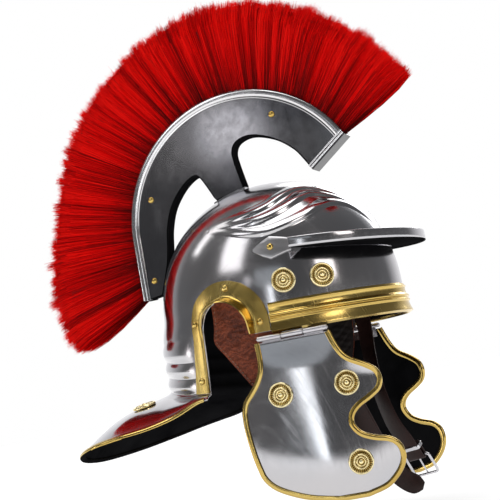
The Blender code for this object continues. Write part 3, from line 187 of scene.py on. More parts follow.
# Rosette from its rim to its middle: radius, height
ROSETTE = (
    (11.6, 0.6), (11.5, 1.5), (10.9, 2.1), (10.2, 2.0), (9.8, 1.4), (9.3, 1.25), (8.2, 1.3),
    (7.2, 1.4), (6.8, 1.9), (6.3, 2.2), (5.8, 1.9), (5.3, 1.45), (4.6, 1.6), (4.2, 2.2),
    (3.7, 2.5), (3.2, 2.2), (2.7, 1.9), (2.2, 2.5), (1.6, 3.3), (0.8, 3.65), (0.2, 3.7),
)
# Rings of rays on a rosette: inner and outer edge, softness of both, number, height, lift
ROSETTE_RAYS = ((6.9, 9.9, 0.6, 30, 0.75, -0.05), (4.3, 6.0, 0.4, 20, 0.3, 0.0))
ROSETTE_SIDES, RIVET_SIDES, RIVET_RADIUS, RIVET_RISE = 120, 28, 3.2, 1.9

# Leather flap: height, front edge, back edge
LEATHER, FLAP_HANG, FLAP_SETTLE = 2.2, 14.0, 3.0
FLAP_ROWS = (
    (46.0, -44.0, 40.0), (30.0, -45.0, 42.0), (14.0, -45.5, 44.0), (0.0, -45.0, 46.0),
    (-14.0, -43.5, 36.0), (-30.0, -39.0, 24.5), (-46.0, -31.0, 13.0), (-57.0, -22.0, 2.0),
)
# Stitches: first, length, spacing, distance from the edge, lowest height; thickness along each
STITCH_START, STITCH, STITCH_SPACING, STITCH_INSET, STITCH_END = 2.0, 2.3, 3.6, 2.4, -56.0
STITCH_ROUND = (0.12, 0.32, 0.36, 0.32, 0.12)
# Straps: across, back, height, turn of the face in degrees
STRAP_WIDTH, STRAP_RIVET_DROP, TIP_LENGTH = 19.0, 5.0, 9.0
TAIL_STRAP = (
    (84.0, -56.3, 16.0, 24), (83.6, -56.3, 0.0, 24), (77.5, -59.0, -22.0, 24), (65.0, -65.0, -55.0, 28),
    (51.0, -73.0, -90.0, 34), (36.0, -80.0, -122.0, 36), (25.0, -88.0, -146.0, 30), (20.0, -98.5, -160.0, 14),
    (18.5, -112.0, -166.5, 4),
)
BUCKLE_STRAP = (
    (84.0, -56.3, 16.0, 24), (83.2, -56.3, 0.0, 24), (69.0, -60.0, -26.0, 26), (49.0, -66.0, -52.0, 30),
    (35.0, -73.0, -78.0, 34), (29.0, -81.0, -104.0, 30), (33.0, -89.5, -125.0, 24), (40.0, -94.0, -141.0, 20),
)
# A strap's section, with its pressed lines: share of the half width, of the half thickness
STRAP_SECTION = (
    (-1.0, -0.55), (-0.93, -1.0), (0.93, -1.0), (1.0, -0.55), (1.0, 0.55), (0.94, 0.96), (0.86, 1.0),
    (0.80, 0.78), (0.74, 1.0), (0.0, 1.08), (-0.74, 1.0), (-0.80, 0.78), (-0.86, 1.0), (-0.94, 0.96),
    (-1.0, 0.55),
)
BUCKLE_BAR, BUCKLE_LENGTH, BUCKLE_WIDTH, BUCKLE_CORNER, FOLD_BACK = 1.3, 22.0, 27.0, 3.0, 15.0
# Prong of the buckle: along the strap, out of its face
PRONG = ((-0.8, 1.9), (1.5, 2.2), (8.0, 1.7), (16.0, 1.4), (BUCKLE_LENGTH + 1.5, 2.1))
PRONG_LOOP, PRONG_WIRE, LOOP_WIRE = 2.05, 0.85, 0.75
# Keeper's section: out, along the strap
KEEPER = ((-0.45, -1.9), (0.1, -2.0), (0.5, -1.6), (0.55, 0.0), (0.5, 1.6), (0.1, 2.0), (-0.45, 1.9))

# Metals: key, name, dark, light, roughness, scratches, dents, wear
METALS = (
    ("steel", "polished_steel", (0.47, 0.475, 0.50), (0.58, 0.56, 0.565), (0.09, 0.16), 0.12, 0.03, 0.07),
    ("cheek", "cheek_steel", (0.50, 0.505, 0.53), (0.59, 0.565, 0.57), (0.10, 0.15), 0.14, 0.015, 0.07),
    ("crest_steel", "crest_steel", (0.20, 0.205, 0.225), (0.40, 0.39, 0.395), (0.06, 0.12), 0.3, 0.03, 0.12),
    ("brass", "polished_brass", (0.50, 0.33, 0.08), (0.70, 0.52, 0.17), (0.12, 0.20), 0.2, 0.04, 0.12),
    ("bright", "plated_steel", (0.66, 0.65, 0.68), (0.82, 0.81, 0.83), (0.14, 0.24), 0.2, 0.05, 0.12),
    ("tab", "tab_steel", (0.44, 0.43, 0.44), (0.62, 0.61, 0.62), (0.24, 0.34), 0.3, 0.05, 0.12),
)
# Steel of the crest's edge bands and end cap; its dark tone is the painted shade of their grooves
CREST_EDGE_STEEL = (
    "crest_edge_steel", (0.03, 0.03, 0.032), (0.74, 0.73, 0.74), (0.10, 0.18), 0.3, 0.03, 0.12,
)
# Leathers: key, name, dark, light, depth of the grain, roughness, wrinkles
LEATHERS = (
    ("liner", "liner_leather", (0.045, 0.008, 0.004), (0.30, 0.068, 0.028), 0.004, 0.5, 1.0),
    ("liner_back", "liner_flesh_side", (0.004, 0.003, 0.003), (0.016, 0.009, 0.007), 0.0008, 0.75, 0.0),
    ("strap", "strap_leather", (0.007, 0.003, 0.0025), (0.032, 0.011, 0.009), 0.0005, 0.48, 0.0),
)
# Dark and light of the plume's bed, whose dark paints the shade deep in the plume, and of the stitches
BED_TONES = (0.04, 0.0, 0.001), (0.18, 0.001, 0.002)
THREAD_TONES = (0.10, 0.06, 0.04), (0.30, 0.22, 0.17)

# Camera, fitted to the photograph: angles in degrees, distance and target in millimetres
AZIMUTH, ELEVATION, ROLL, DISTANCE, FOCAL = -70.81, -6.0, -10.31, 1411.2, 1403.3
TARGET = (0.0, 23.2, 89.5)
FRAME_PIXELS = 500
FLOOR_LEVEL, FLOOR_HALF = -338.0, 60.0
# Room brightness by direction, from in front of the helmet's near side (0) to the wall behind it (1)
WALL_DIRECTION = (0.94, 0.33, 0.06)
ROOM = ((0.0, 0.09), (0.3, 0.12), (0.5, 0.14), (0.7, 0.18), (0.88, 0.85), (1.0, 1.05))
# Lights: name, angle from the front, elevation, distance, width, height, power, colour
LIGHTS = (
    ("key", -124, 38, 2.2, 0.7, 1.4, 6, (0.98, 0.98, 1.0)),
    ("sky", -91, 14, 2.2, 0.9, 0.36, 0.42, (0.85, 0.93, 1.0)),
    ("front", -41, 21, 2.2, 0.62, 1.1, 6.5, (1.0, 0.94, 0.91)),
    ("strip", -92, 0.5, 2.2, 0.16, 0.6, 0.8, (0.93, 0.97, 1.0)),
    ("plates", -109.5, 12.5, 2.2, 0.16, 0.13, 0.13, (0.97, 0.96, 1.0)),
    ("low", -150, -2, 2.2, 0.3, 0.5, 2.4, (1.0, 0.95, 0.96)),
    ("rear", -172, 44, 2.2, 0.3, 1.0, 2, (1, 1, 1)),
    ("top", -60, 80, 2.0, 1.2, 1.2, 14, (1, 1, 1)),
    ("fill", 80, 30, 2.4, 1.6, 1.4, 20, (1, 1, 1)),
)


# Numbers and curves


def smooth(share):
    share = np.clip(share, 0.0, 1.0)
    return share * share * (3 - 2 * share)


def mixed(a, b, share):
    return a + (b - a) * share


def table_at(table, keys):
    """Every column of a table but the first, read at these values of the first."""
    table = np.array(table, float)
    return [np.interp(keys, table[:, 0], table[:, n]) for n in range(1, table.shape[1])]


def curve(points, steps, closed=False):
    """Points on a smooth curve through the given ones, with this many steps to each span."""
    p = np.array(points, float)
    if closed:
        p = np.vstack([p[-1:], p, p[:2]])
    else:
        p = np.vstack([2 * p[0] - p[1], p, 2 * p[-1] - p[-2]])
    t = (np.arange(steps) / steps)[:, None]
    spans = []
    for a, b, c, d in zip(p, p[1:], p[2:], p[3:]):
        bend, twist = 2 * a - 5 * b + 4 * c - d, 3 * b - a - 3 * c + d
        spans.append(0.5 * (2 * b + (c - a) * t + bend * t**2 + twist * t**3))
    found = np.vstack(spans)
    return found if closed else np.vstack([found, p[-2:-1]])


def evenly(points, count):
    """The same line with this many points at equal distances."""
    points = np.array(points, float)
    run = np.concatenate([[0], np.cumsum(np.linalg.norm(np.diff(points, axis=0), axis=1))])
    places = np.linspace(0, run[-1], count)
    return np.stack([np.interp(places, run, points[:, n]) for n in range(points.shape[1])], 1)


def unit(vectors):
    return vectors / np.maximum(np.linalg.norm(vectors, axis=-1, keepdims=True), 1e-9)


def tangents(path, closed=False):
    if closed:
        return unit(np.roll(path, -1, 0) - np.roll(path, 1, 0))
    return unit(np.gradient(path, axis=0))


def on_arc(radius, degrees, middle=ARC_MIDDLE):
    angle = np.radians(degrees)
    return np.stack([middle[0] + radius * np.sin(angle), middle[1] + radius * np.cos(angle)], -1)


# Meshes


def place(points):
    """Millimetres in the helmet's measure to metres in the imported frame."""
    return (np.asarray(points, float) - (0, 0, CROWN_INSIDE)) * MM


def grid_faces(rows, columns, wrap_columns=False, wrap_rows=False):
    r = np.arange(rows if wrap_rows else rows - 1)[:, None]
    c = np.arange(columns if wrap_columns else columns - 1)[None, :]
    r2, c2 = (r + 1) % rows, (c + 1) % columns
    corners = [r * columns + c, r2 * columns + c, r2 * columns + c2, r * columns + c2]
    return np.stack([np.broadcast_to(k, (r.shape[0], c.shape[1])) for k in corners], -1).reshape(-1, 4)


def add_object(name, points, faces, material, outward=False, weld=0.0, angle=40):
    mesh = bpy.data.meshes.new(name)
    mesh.from_pydata(place(points).tolist(), [], [list(map(int, f)) for f in faces])
    if weld or outward:
        work = bmesh.new()
        work.from_mesh(mesh)
        if weld:
            bmesh.ops.remove_doubles(work, verts=work.verts, dist=weld * MM)
        if outward:
            bmesh.ops.recalc_face_normals(work, faces=work.faces)
        work.to_mesh(mesh)
        work.free()
    mesh.shade_smooth()
    mesh.set_sharp_from_angle(angle=math.radians(angle))
    mesh.materials.append(MATERIALS[material])
    obj = bpy.data.objects.new(name, mesh)
    bpy.context.scene.collection.objects.link(obj)
    return obj


def piece(obj, nodes, body=ROOT):
    """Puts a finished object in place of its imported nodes."""
    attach(obj, body)
    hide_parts(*nodes)


def solid(name, shape, material, node, body=ROOT, angle=40):
    """Puts a closed shape of (points, faces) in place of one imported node."""
    piece(add_object(name, *shape, material, outward=True, angle=angle), [node], body)


def sweep(rows, closed=False):
    """Points and faces of a tube through sections of equal length."""
    rows = np.array(rows)
    count = rows.shape[1]
    faces = grid_faces(rows.shape[0], count, True, closed).tolist()
    if not closed:
        faces.append(list(range(count)))
        faces.append([(rows.shape[0] - 1) * count + n for n in reversed(range(count))])
    return rows.reshape(-1, 3), faces


def across_path(path, out, up, section):
    """A section of (out, up) places at each point of a path, for sweep()."""
    section = np.array(section)[None]
    return path[:, None] + out[:, None] * section[..., :1] + up[:, None] * section[..., 1:]


def join(parts):
    """Several (points, faces) in one."""
    points, faces, start = [], [], 0
    for some_points, some_faces in parts:
        some_points = np.asarray(some_points).reshape(-1, 3)
        points.append(some_points)
        faces += [[int(i) + start for i in face] for face in some_faces]
        start += len(some_points)
    return np.vstack(points), faces


def wire(path, radius, sides=12, closed=False, up=(0, 0, 1)):
    """A round wire along a path; radius may vary along it."""
    path = np.array(path, float)
    run = tangents(path, closed)
    normal = np.cross(run, np.broadcast_to(up, run.shape))
    thin = np.linalg.norm(normal, axis=1) < 1e-3
    normal[thin] = np.cross(run[thin], (1.0, 0.3, 0.0))
    normal = unit(normal)
    other = unit(np.cross(normal, run))
    angle = np.arange(sides) * 2 * math.pi / sides
    radius = np.broadcast_to(radius, (len(path),))[:, None, None]
    ring = normal[:, None] * np.cos(angle)[None, :, None] + other[:, None] * np.sin(angle)[None, :, None]
    return sweep(path[:, None] + ring * radius, closed)


def solidify(obj, thickness):
    """Thickens a sheet inwards; its inner face carries the black paint."""
    obj.data.materials.append(MATERIALS["black"])
    modifier = obj.modifiers.new("sheet", "SOLIDIFY")
    modifier.thickness = thickness * MM
    modifier.offset = -1.0
    modifier.material_offset = 1
    modifier.material_offset_rim = 0


# Materials


class Tree:
    """Short calls for building a material's nodes."""

    def __init__(self, name):
        self.material = bpy.data.materials.new(name)
        self.material.use_nodes = True
        self.nodes = self.material.node_tree.nodes
        self.links = self.material.node_tree.links
        self.shader = self.nodes["Principled BSDF"]

    def add(self, kind, settings=None, **inputs):
        """A node; an input is named by its label, or as i0, i1 and so on by its place."""
        new = self.nodes.new("ShaderNode" + kind)
        for key, value in (settings or {}).items():
            setattr(new, key, value)
        for key, value in inputs.items():
            key = int(key[1:]) if key[0] == "i" and key[1:].isdigit() else key.replace("_", " ")
            self.set(new.inputs[key], value)
        return new

    def set(self, socket, value):
        if isinstance(value, bpy.types.NodeSocket):
            self.links.new(value, socket)
        elif isinstance(value, bpy.types.Node):
            self.links.new(value.outputs[0], socket)
        else:
            socket.default_value = value

    def finish(self, **inputs):
        for key, value in inputs.items():
            self.set(self.shader.inputs[key.replace("_", " ")], value)
        return self.material

    def coordinates(self, scale=(1, 1, 1), turn=(0, 0, 0)):
        object_place = self.add("TexCoord").outputs["Object"]
        return self.add("Mapping", Vector=object_place, Scale=scale, Rotation=[math.radians(t) for t in turn])

    def shade(self):
        """The lightness that set_shade() stores on each point."""
        return self.add("Attribute", {"attribute_name": "shade"}).outputs["Fac"]

    def noise(self, coordinates, scale, detail=3.0, rough=0.55):
        return self.add("TexNoise", Vector=coordinates, Scale=scale, Detail=detail, Roughness=rough)

    def between(self, value, low, high, start=0.3, end=0.7):
        """Turns values from start to end into values from low to high."""
        return self.add("MapRange", {"clamp": True}, Value=value, From_Min=start, From_Max=end,
                        To_Min=low, To_Max=high)

    def colours(self, value, stops):
        ramp = self.add("ValToRGB", Fac=value)
        points = ramp.color_ramp.elements
        while len(points) < len(stops):
            points.new(0.5)
        for point, (where, colour) in zip(points, stops):
            point.position = where
            point.color = (*colour, 1.0)
        return ramp

    def maths(self, operation, a, b):
        return self.add("Math", {"operation": operation}, i0=a, i1=b)

    def bump(self, height, strength, distance, below=None):
        made = self.add("Bump", Height=height, Strength=strength, Distance=distance)
        if below:
            self.set(made.inputs["Normal"], below)
        return made


def scratches(tree):
    """Fine polishing scratches that cross one another."""
    total = None
    for turn, stretch in (((20, 35, 10), 900), ((-50, 15, 70), 1200), ((80, -30, 40), 1000)):
        lines = tree.noise(tree.coordinates((stretch, 18, 14), turn), 1.0, 2.0, 0.6)
        lines = tree.between(lines, 0.0, 1.0, 0.56, 0.8)
        total = lines if total is None else tree.maths("MAXIMUM", total, lines)
    return total


def metal(name, dark, light, rough, scratch, dents, wear, groove_shade=False):
    """Polished metal, cloudy, softly dented and finely scratched, with painted shade in its grooves if it has
    any.
    """
    tree = Tree(name)
    cloud = tree.noise(tree.coordinates(), 9.0, 2.0, 0.5)
    fine = tree.noise(tree.coordinates(), 120.0, 3.0, 0.6)
    marks = scratches(tree)
    low, high = (0.05, 0.35) if groove_shade else (0.3, 0.68)
    # Painted shade: the stored shade darkens the colour in the grooves
    if groove_shade:
        cloud = tree.maths("MULTIPLY", cloud, tree.between(tree.shade(), 0.0, 1.0, 0.0, 1.0))
    level = tree.between(cloud, rough[0], rough[1])
    level = tree.maths("ADD", level, tree.between(fine, 0.0, wear * 0.4))
    level = tree.maths("ADD", level, tree.maths("MULTIPLY", marks, wear))
    waves = tree.bump(tree.noise(tree.coordinates(), 26.0, 1.0, 0.4), dents, 0.0012)
    return tree.finish(Base_Color=tree.colours(cloud, ((low, dark), (high, light))), Metallic=1.0,
                       Roughness=level, Normal=tree.bump(marks, scratch, 0.00004, waves))


def rosette_brass():
    """Painted highlight on the raised rings, and painted shade with some brown patina in between."""
    tree = Tree("rosette_brass")
    stains = tree.between(tree.noise(tree.coordinates(), 260.0, 3.0), -0.12, 0.12)
    # Painted light and shade from the relief, with stains from the noise
    relief_shade_and_stains = tree.maths("ADD", tree.shade(), stains)
    tones = ((0.2, (0.12, 0.06, 0.015)), (0.42, (0.72, 0.54, 0.20)), (0.58, (0.98, 0.86, 0.50)))
    return tree.finish(Base_Color=tree.colours(relief_shade_and_stains, tones), Metallic=1.0,
                       Roughness=tree.between(relief_shade_and_stains, 0.42, 0.2, 0.25, 0.55),
                       Normal=tree.bump(scratches(tree), 0.15, 0.00004))


def hinge_steel():
    """Drawn steel with fine lines along the knuckles."""
    tree = Tree("hinge_steel")
    lines = tree.add("TexWave", {"wave_type": "BANDS", "bands_direction": "Y"},
                     Vector=tree.coordinates((1, 1, 1), (35, 0, 8)), Scale=420.0, Distortion=0.6)
    tones = ((0.2, (0.46, 0.45, 0.48)), (0.7, (0.80, 0.78, 0.81)))
    return tree.finish(Base_Color=tree.colours(lines, tones), Metallic=1.0,
                       Roughness=tree.between(lines, 0.22, 0.38), Normal=tree.bump(lines, 0.5, 0.0001))


def black_paint():
    tree = Tree("black_paint")
    fine = tree.noise(tree.coordinates(), 300.0, 2.0)
    cloud = tree.noise(tree.coordinates(), 18.0, 4.0)
    tones = ((0.3, (0.0035, 0.0035, 0.004)), (0.75, (0.012, 0.012, 0.013)))
    return tree.finish(Base_Color=tree.colours(cloud, tones), Roughness=tree.between(cloud, 0.5, 0.68),
                       Normal=tree.bump(fine, 0.3, 0.0003), Specular_IOR_Level=0.0)


def red_bristle():
    """Dark at the root and light at the tip, by each bristle's own shade: painted shade and light, and each
    lock's own tone.
    """
    tree = Tree("red_bristle")
    tones = ((0.0, (0.035, 0.0, 0.0)), (0.35, (0.26, 0.0, 0.0)), (0.7, (0.76, 0.0, 0.0)),
             (1.0, (0.95, 0.008, 0.004)))
    return tree.finish(Base_Color=tree.colours(tree.shade(), tones), Roughness=0.6, Specular_IOR_Level=0.06)


def dull_noise(name, stretch, scale, dark, light, rough):
    """A dull material with two tones mixed by noise."""
    tree = Tree(name)
    mix = tree.noise(tree.coordinates(stretch), scale)
    return tree.finish(Base_Color=tree.colours(mix, ((0.3, dark), (0.7, light))), Roughness=rough)


def pale_floor():
    """Pale, a little darker under the helmet with painted shade, and glowing bright enough further out to
    meet the backdrop.
    """
    tree = Tree("floor")
    far = tree.add("VectorMath", {"operation": "LENGTH"}, i0=tree.coordinates()).outputs["Value"]
    cloud = tree.noise(tree.coordinates(), 1.5, 2.0)
    # Painted shade: darker near the helmet, paler further out
    pale = tree.maths("MULTIPLY", tree.between(far, 0.12, 0.45, 0.6, 1.3), tree.between(cloud, 0.97, 1.0))
    tones = ((0.0, (0, 0, 0)), (1.0, (0.9, 0.9, 0.9)))
    return tree.finish(Base_Color=tree.colours(pale, tones), Roughness=0.9, Emission_Color=(1, 1, 1, 1),
                       Emission_Strength=tree.between(far, 0.0, 1.0, 0.1, 0.42))


def make_materials():
    made = {key: metal(*values) for key, *values in METALS}
    made.update({key: leather(*values) for key, *values in LEATHERS})
    made["crest_edge"] = metal(*CREST_EDGE_STEEL, groove_shade=True)
    made["rosette"] = rosette_brass()
    made["hinge"] = hinge_steel()
    made["black"] = black_paint()
    made["bristle"] = red_bristle()
    made["bed"] = dull_noise("bristle_bed", (30, 420, 420), 1.0, *BED_TONES, 0.9)
    made["thread"] = dull_noise("stitch_thread", (1, 1, 1), 900.0, *THREAD_TONES, 0.8)
    made["floor"] = pale_floor()
    return made


def leather(name, dark, light, depth, rough, wrinkled):
    """Pebbled grain with a web of fine creases and, where it has seen wear, wrinkles, with painted shade and
    light along them.
    """
    tree = Tree(name)
    wrinkles = tree.add("TexWave", {"wave_type": "BANDS", "bands_direction": "Z"}, Vector=tree.coordinates(),
                        Scale=62.0, Distortion=15.0, Detail=5.0, Detail_Scale=1.4)
    stray = tree.noise(tree.coordinates(), 60.0).outputs["Color"]
    bent = tree.add("VectorMath", {"operation": "MULTIPLY_ADD"}, i0=stray, i1=(0.006, 0.006, 0.006),
                    i2=tree.coordinates())
    cells = tree.add("TexVoronoi", {"feature": "DISTANCE_TO_EDGE"}, Vector=bent, Scale=520.0)
    pebbles = tree.between(cells, 0.0, 1.0, 0.0, 0.18)
    cloud = tree.noise(tree.coordinates(), 35.0, 5.0, 0.65)
    tone = tree.maths("MULTIPLY", cloud, tree.between(pebbles, 0.72, 1.0, 0.0, 1.0))
    # Painted shade in the wrinkles' troughs and painted light on their ridges
    folded = tree.between(wrinkles, 1 - 0.18 * wrinkled, 1 + 0.12 * wrinkled, 0.1, 0.8)
    tone = tree.maths("MULTIPLY", tone, folded)
    grain = tree.bump(wrinkles, 0.42 * wrinkled, 0.0011, tree.bump(pebbles, 0.55, depth * 0.12))
    folds = tree.noise(tree.coordinates((1.0, 1.0, 2.2), (25, 0, 0)), 150.0, 4.0, 0.6)
    soft = tree.bump(tree.maths("ADD", cloud, tree.maths("MULTIPLY", folds, 0.6)), 0.75, depth, grain)
    return tree.finish(Base_Color=tree.colours(tone, ((0.22, dark), (0.62, light))), Normal=soft,
                       Roughness=tree.between(cloud, rough - 0.1, rough + 0.12), Specular_IOR_Level=0.28)


# The bowl's surface


def skull_reach(height):
    t = np.clip((height - SHOULDER) / (TOP - SHOULDER), 0, 1)
    wide, front, back = [np.maximum(1 - t**p, 0) ** (1 / p) for p in (SIDE_ROUND, FRONT_ROUND, BACK_ROUND)]
    flare = NAPE_FLARE * smooth((NAPE_FLARE_START - height) / (NAPE_FLARE_START - NAPE_TOP))
    return HALF_WIDTH * wide, FRONT * front, BACK * back + flare


def skull_point(degrees, height, out=0.0):
    """Points on the bowl, with degrees counted round from the front towards the left (+X)."""
    degrees, height = np.broadcast_arrays(np.asarray(degrees, float), np.asarray(height, float))
    wide, front, back = skull_reach(height)
    angle = np.radians(degrees)
    length = np.where(np.cos(angle) > 0, front, back)
    point = np.stack([wide * np.sin(angle), MIDDLE - length * np.cos(angle), height], -1)
    if np.any(out):
        point = point + skull_normal(degrees, height) * np.asarray(out)[..., None]
    return point


def skull_normal(degrees, height):
    high = np.minimum(height + 0.5, TOP - 0.01)
    across = skull_point(degrees + 0.5, height) - skull_point(degrees - 0.5, height)
    up = skull_point(degrees, high) - skull_point(degrees, high - 1.0)
    return unit(np.cross(across, up))


def skull_angle(back, height):
    _, front, rear = skull_reach(np.asarray(height, float))
    length = np.where(np.asarray(back) < MIDDLE, front, rear)
    return np.degrees(np.arccos(np.clip((MIDDLE - back) / length, -1, 1)))


def skull_at(side, back, height, out=0.0):
    return skull_point(side * skull_angle(back, height), height, out)


def crease_point(degrees, height, rise):
    """Points on the nape, which droops towards its crease with the neck guard."""
    base = skull_point(degrees, 0.0)
    fade = smooth((base[..., 1] - RIB_FADE[0]) / (RIB_FADE[1] - RIB_FADE[0]))
    low, high = DROOP_SPAN
    share = (np.minimum(base[..., 1], high) - low) / (high - low)
    drop = DROOP * (1 - share**2) * smooth((DROOP_START - height) / DROOP_START)
    slope = np.stack([base[..., 0] / HALF_WIDTH**2, (base[..., 1] - MIDDLE) / BACK**2, 0 * base[..., 0]], -1)
    lift = np.stack([0 * drop, 0 * drop, height - drop], -1)
    return base + unit(slope) * (rise * fade)[..., None] + lift


RIM_LINE = curve(np.vstack([GUARD_RIM, [[188, -66.0, 209.0, -88.0]]]), 8)


def guard_point(degrees, share):
    degrees, share = np.broadcast_arrays(np.asarray(degrees, float), np.asarray(share, float))
    crease = crease_point(degrees, CREASE, np.zeros_like(share))
    across, back, height = [np.interp(np.abs(degrees), RIM_LINE[:, 0], RIM_LINE[:, n]) for n in (1, 2, 3)]
    rim = np.stack([np.copysign(across, degrees), back, height], -1)
    start, end = GUARD_BULGE_ANGLES
    bulge = mixed(*GUARD_BULGES, smooth((np.abs(degrees) - start) / (end - start)))
    bulge = np.minimum(bulge, GUARD_BULGE_SLOPE * np.linalg.norm(rim - crease, axis=-1))
    lift = bulge * np.sin(math.pi * share**GUARD_SKEW)
    return crease + (rim - crease) * share[..., None] + np.stack([0 * lift, 0 * lift, lift], -1)


def ear_edge():
    """The ear opening's edge from the front of the brow rim over the arch and down: back, height."""
    arch = on_arc(EAR_RADIUS, np.linspace(-90, 90, 40), EAR_MIDDLE)
    return np.vstack([[(EAR_MIDDLE[0] - EAR_RADIUS, EAR_BOTTOM)], arch, [EAR_LEG, EAR_LEG_LOW]])


def raised_brows(points):
    """How far each point of the crown stands out on the three eyebrow ridges."""
    rise = np.zeros(points.shape[:-1])
    for side in (-1, 1):
        for line in BROW_RIDGES:
            path = curve(line, 14)
            upright = skull_normal(side * path[:, 0], path[:, 1])
            path = skull_point(side * path[:, 0], path[:, 1])
            uphill = unit(np.cross(tangents(path), upright))
            uphill = uphill * np.sign(uphill[:, 2:])
            count = len(path)
            ends = np.minimum(np.arange(count), np.arange(count)[::-1]) / (count - 1)
            size = mixed(0.1, 1.0, smooth(ends / RIDGE_FADE))
            for a, b, s, t, up in zip(path, path[1:], size, size[1:], uphill):
                run = b - a
                share = np.clip(((points - a) @ run) / (run @ run), 0, 1)
                offset = points - a - share[..., None] * run
                reach = np.where(offset @ up > 0, RIDGE_ABOVE, RIDGE_BELOW)
                apart = np.linalg.norm(offset, axis=-1) / reach
                bar = np.maximum(1 - apart**2, 0) ** 1.5 * RIDGE_RISE * mixed(s, t, share)
                rise = np.maximum(rise, bar)
    return rise


def snapped_to_edge(points, side, edge):
    """Which points lie in the ear opening, and where they move to on its edge."""
    flat = points[..., 1:]
    front, rear = EAR_MIDDLE[0] - EAR_RADIUS - 1, EAR_LEG_LOW[0] + 1
    near = (points[..., 0] * side > 60) & (flat[..., 0] > front) & (flat[..., 0] < rear)
    inside = np.zeros(flat.shape[:-1], bool)
    best = np.full(flat.shape[:-1], 1e9)
    target = flat.copy()
    for (y0, z0), (y1, z1) in zip(edge, edge[1:]):
        run = np.array((y1 - y0, z1 - z0))
        share = np.clip(((flat - (y0, z0)) @ run) / (run @ run), 0, 1)
        nearest = np.array((y0, z0)) + share[..., None] * run
        apart = np.linalg.norm(flat - nearest, axis=-1)
        target = np.where((apart < best)[..., None], nearest, target)
        best = np.minimum(best, apart)
    closed = np.vstack([edge, edge[:1]])
    for (y0, z0), (y1, z1) in zip(closed, closed[1:]):
        crosses = (z0 > flat[..., 1]) != (z1 > flat[..., 1])
        with np.errstate(divide="ignore", invalid="ignore"):
            where = y0 + (flat[..., 1] - z0) / (z1 - z0 if z1 != z0 else 1e-9) * (y1 - y0)
        inside ^= crosses & (flat[..., 0] < where)
    return inside & near, target


def nape_and_guard(columns, nape_rows, guard_rows):
    """Rows of points from the widest line down the ribbed nape and out to the neck guard's rim."""
    upper = skull_point(columns[None], np.linspace(SHOULDER, NAPE_TOP, 8)[:-1, None])
    levels = np.linspace(NAPE_TOP, CREASE, nape_rows)
    wave = np.abs(np.cos(math.pi * (levels - RIB_TOP) / RIB_SPACING))
    rise = RIB_RISE * (np.sqrt(wave**2 + RIB_ROUND**2) - RIB_ROUND) * smooth((levels - CREASE) / 3.0)
    rise = np.broadcast_to(rise[:, None], (nape_rows, len(columns)))
    nape = crease_point(columns[None], levels[:, None], rise)
    guard = guard_point(columns[None], np.linspace(0, 1, guard_rows)[1:, None])
    rows = np.concatenate([upper, nape, guard])
    crease_row = len(upper) + len(nape) - 1
    low, high = crease_row - 4, crease_row + 3
    for _ in range(10):
        rows[low:high] = 0.5 * rows[low:high] + 0.25 * (rows[low - 1:high - 1] + rows[low + 1:high + 1])
    return rows


def bowl_surface(columns, steps, nape_rows, guard_rows, embossed):
    """Crown, brow and nape of the bowl down to the neck guard's rim, without the ear openings."""
    down = (np.arange(steps) + 0.5) / (steps - 0.5)
    if embossed:
        down = np.interp(down, *CROWN_ROWS)
    levels = SHOULDER + (TOP - SHOULDER) * np.cos(np.radians(90 * down))
    levels = np.append(levels[:-1], SHOULDER)
    crown = skull_point(columns[None], levels[:, None])
    if embossed:
        crown = crown + skull_normal(columns[None], levels[:, None]) * raised_brows(crown)[..., None]
    front_columns = columns[np.abs(columns) <= FRONT_COLUMNS]
    front = skull_point(front_columns[None], np.linspace(SHOULDER, BROW_RIM, 12)[:, None])
    back_columns = np.concatenate([columns[columns >= NAPE_COLUMNS], columns[columns <= -NAPE_COLUMNS]])
    back = nape_and_guard(back_columns, nape_rows, guard_rows)
    all_points, all_faces = [], []
    start = 0
    for grid, wrap in ((crown, True), (front, False), (back, False)):
        all_points.append(grid.reshape(-1, 3))
        all_faces.append(grid_faces(grid.shape[0], grid.shape[1], wrap) + start)
        start += grid.shape[0] * grid.shape[1]
    points, faces = np.vstack(all_points), np.vstack(all_faces)
    edge = ear_edge()
    keep = np.ones(len(faces), bool)
    for side in (-1, 1):
        inside, target = snapped_to_edge(points, side, edge)
        keep &= ~inside[faces].all(1)
        points = np.where(inside[:, None], np.column_stack([points[:, 0], target]), points)
    faces = faces[keep].tolist()
    cap = len(points)
    points = np.vstack([points, [[0, MIDDLE, TOP]]])
    count = len(columns)
    faces += [[cap, n, (n + 1) % count] for n in range(count)]
    return points, faces


def make_bowl():
    """The polished outer face, finely meshed, over a closed sheet that is black inside."""
    brow = np.arange(-BROW_COLUMNS, BROW_COLUMNS, 0.5)
    columns = np.concatenate([np.arange(-180, -BROW_COLUMNS, 1.0), brow, np.arange(BROW_COLUMNS, 180, 1.0)])
    points, faces = bowl_surface(columns, 116, 72, 44, True)
    outer = add_object("skull_bowl_face", points, faces, "steel", weld=0.02, angle=50)
    points, faces = bowl_surface(np.arange(-180, 180, 2.5), 40, 64, 20, False)
    inner = add_object("skull_bowl_sheet", points, faces, "steel", weld=0.02, angle=50)
    sink = inner.modifiers.new("sink", "DISPLACE")
    sink.strength = -BACKING_SINK * MM
    sink.mid_level = 0
    solidify(inner, SHEET - BACKING_SINK)
    piece(outer, ["skull_bowl"])
    piece(inner, ["skull_bowl"])


# Brass fittings


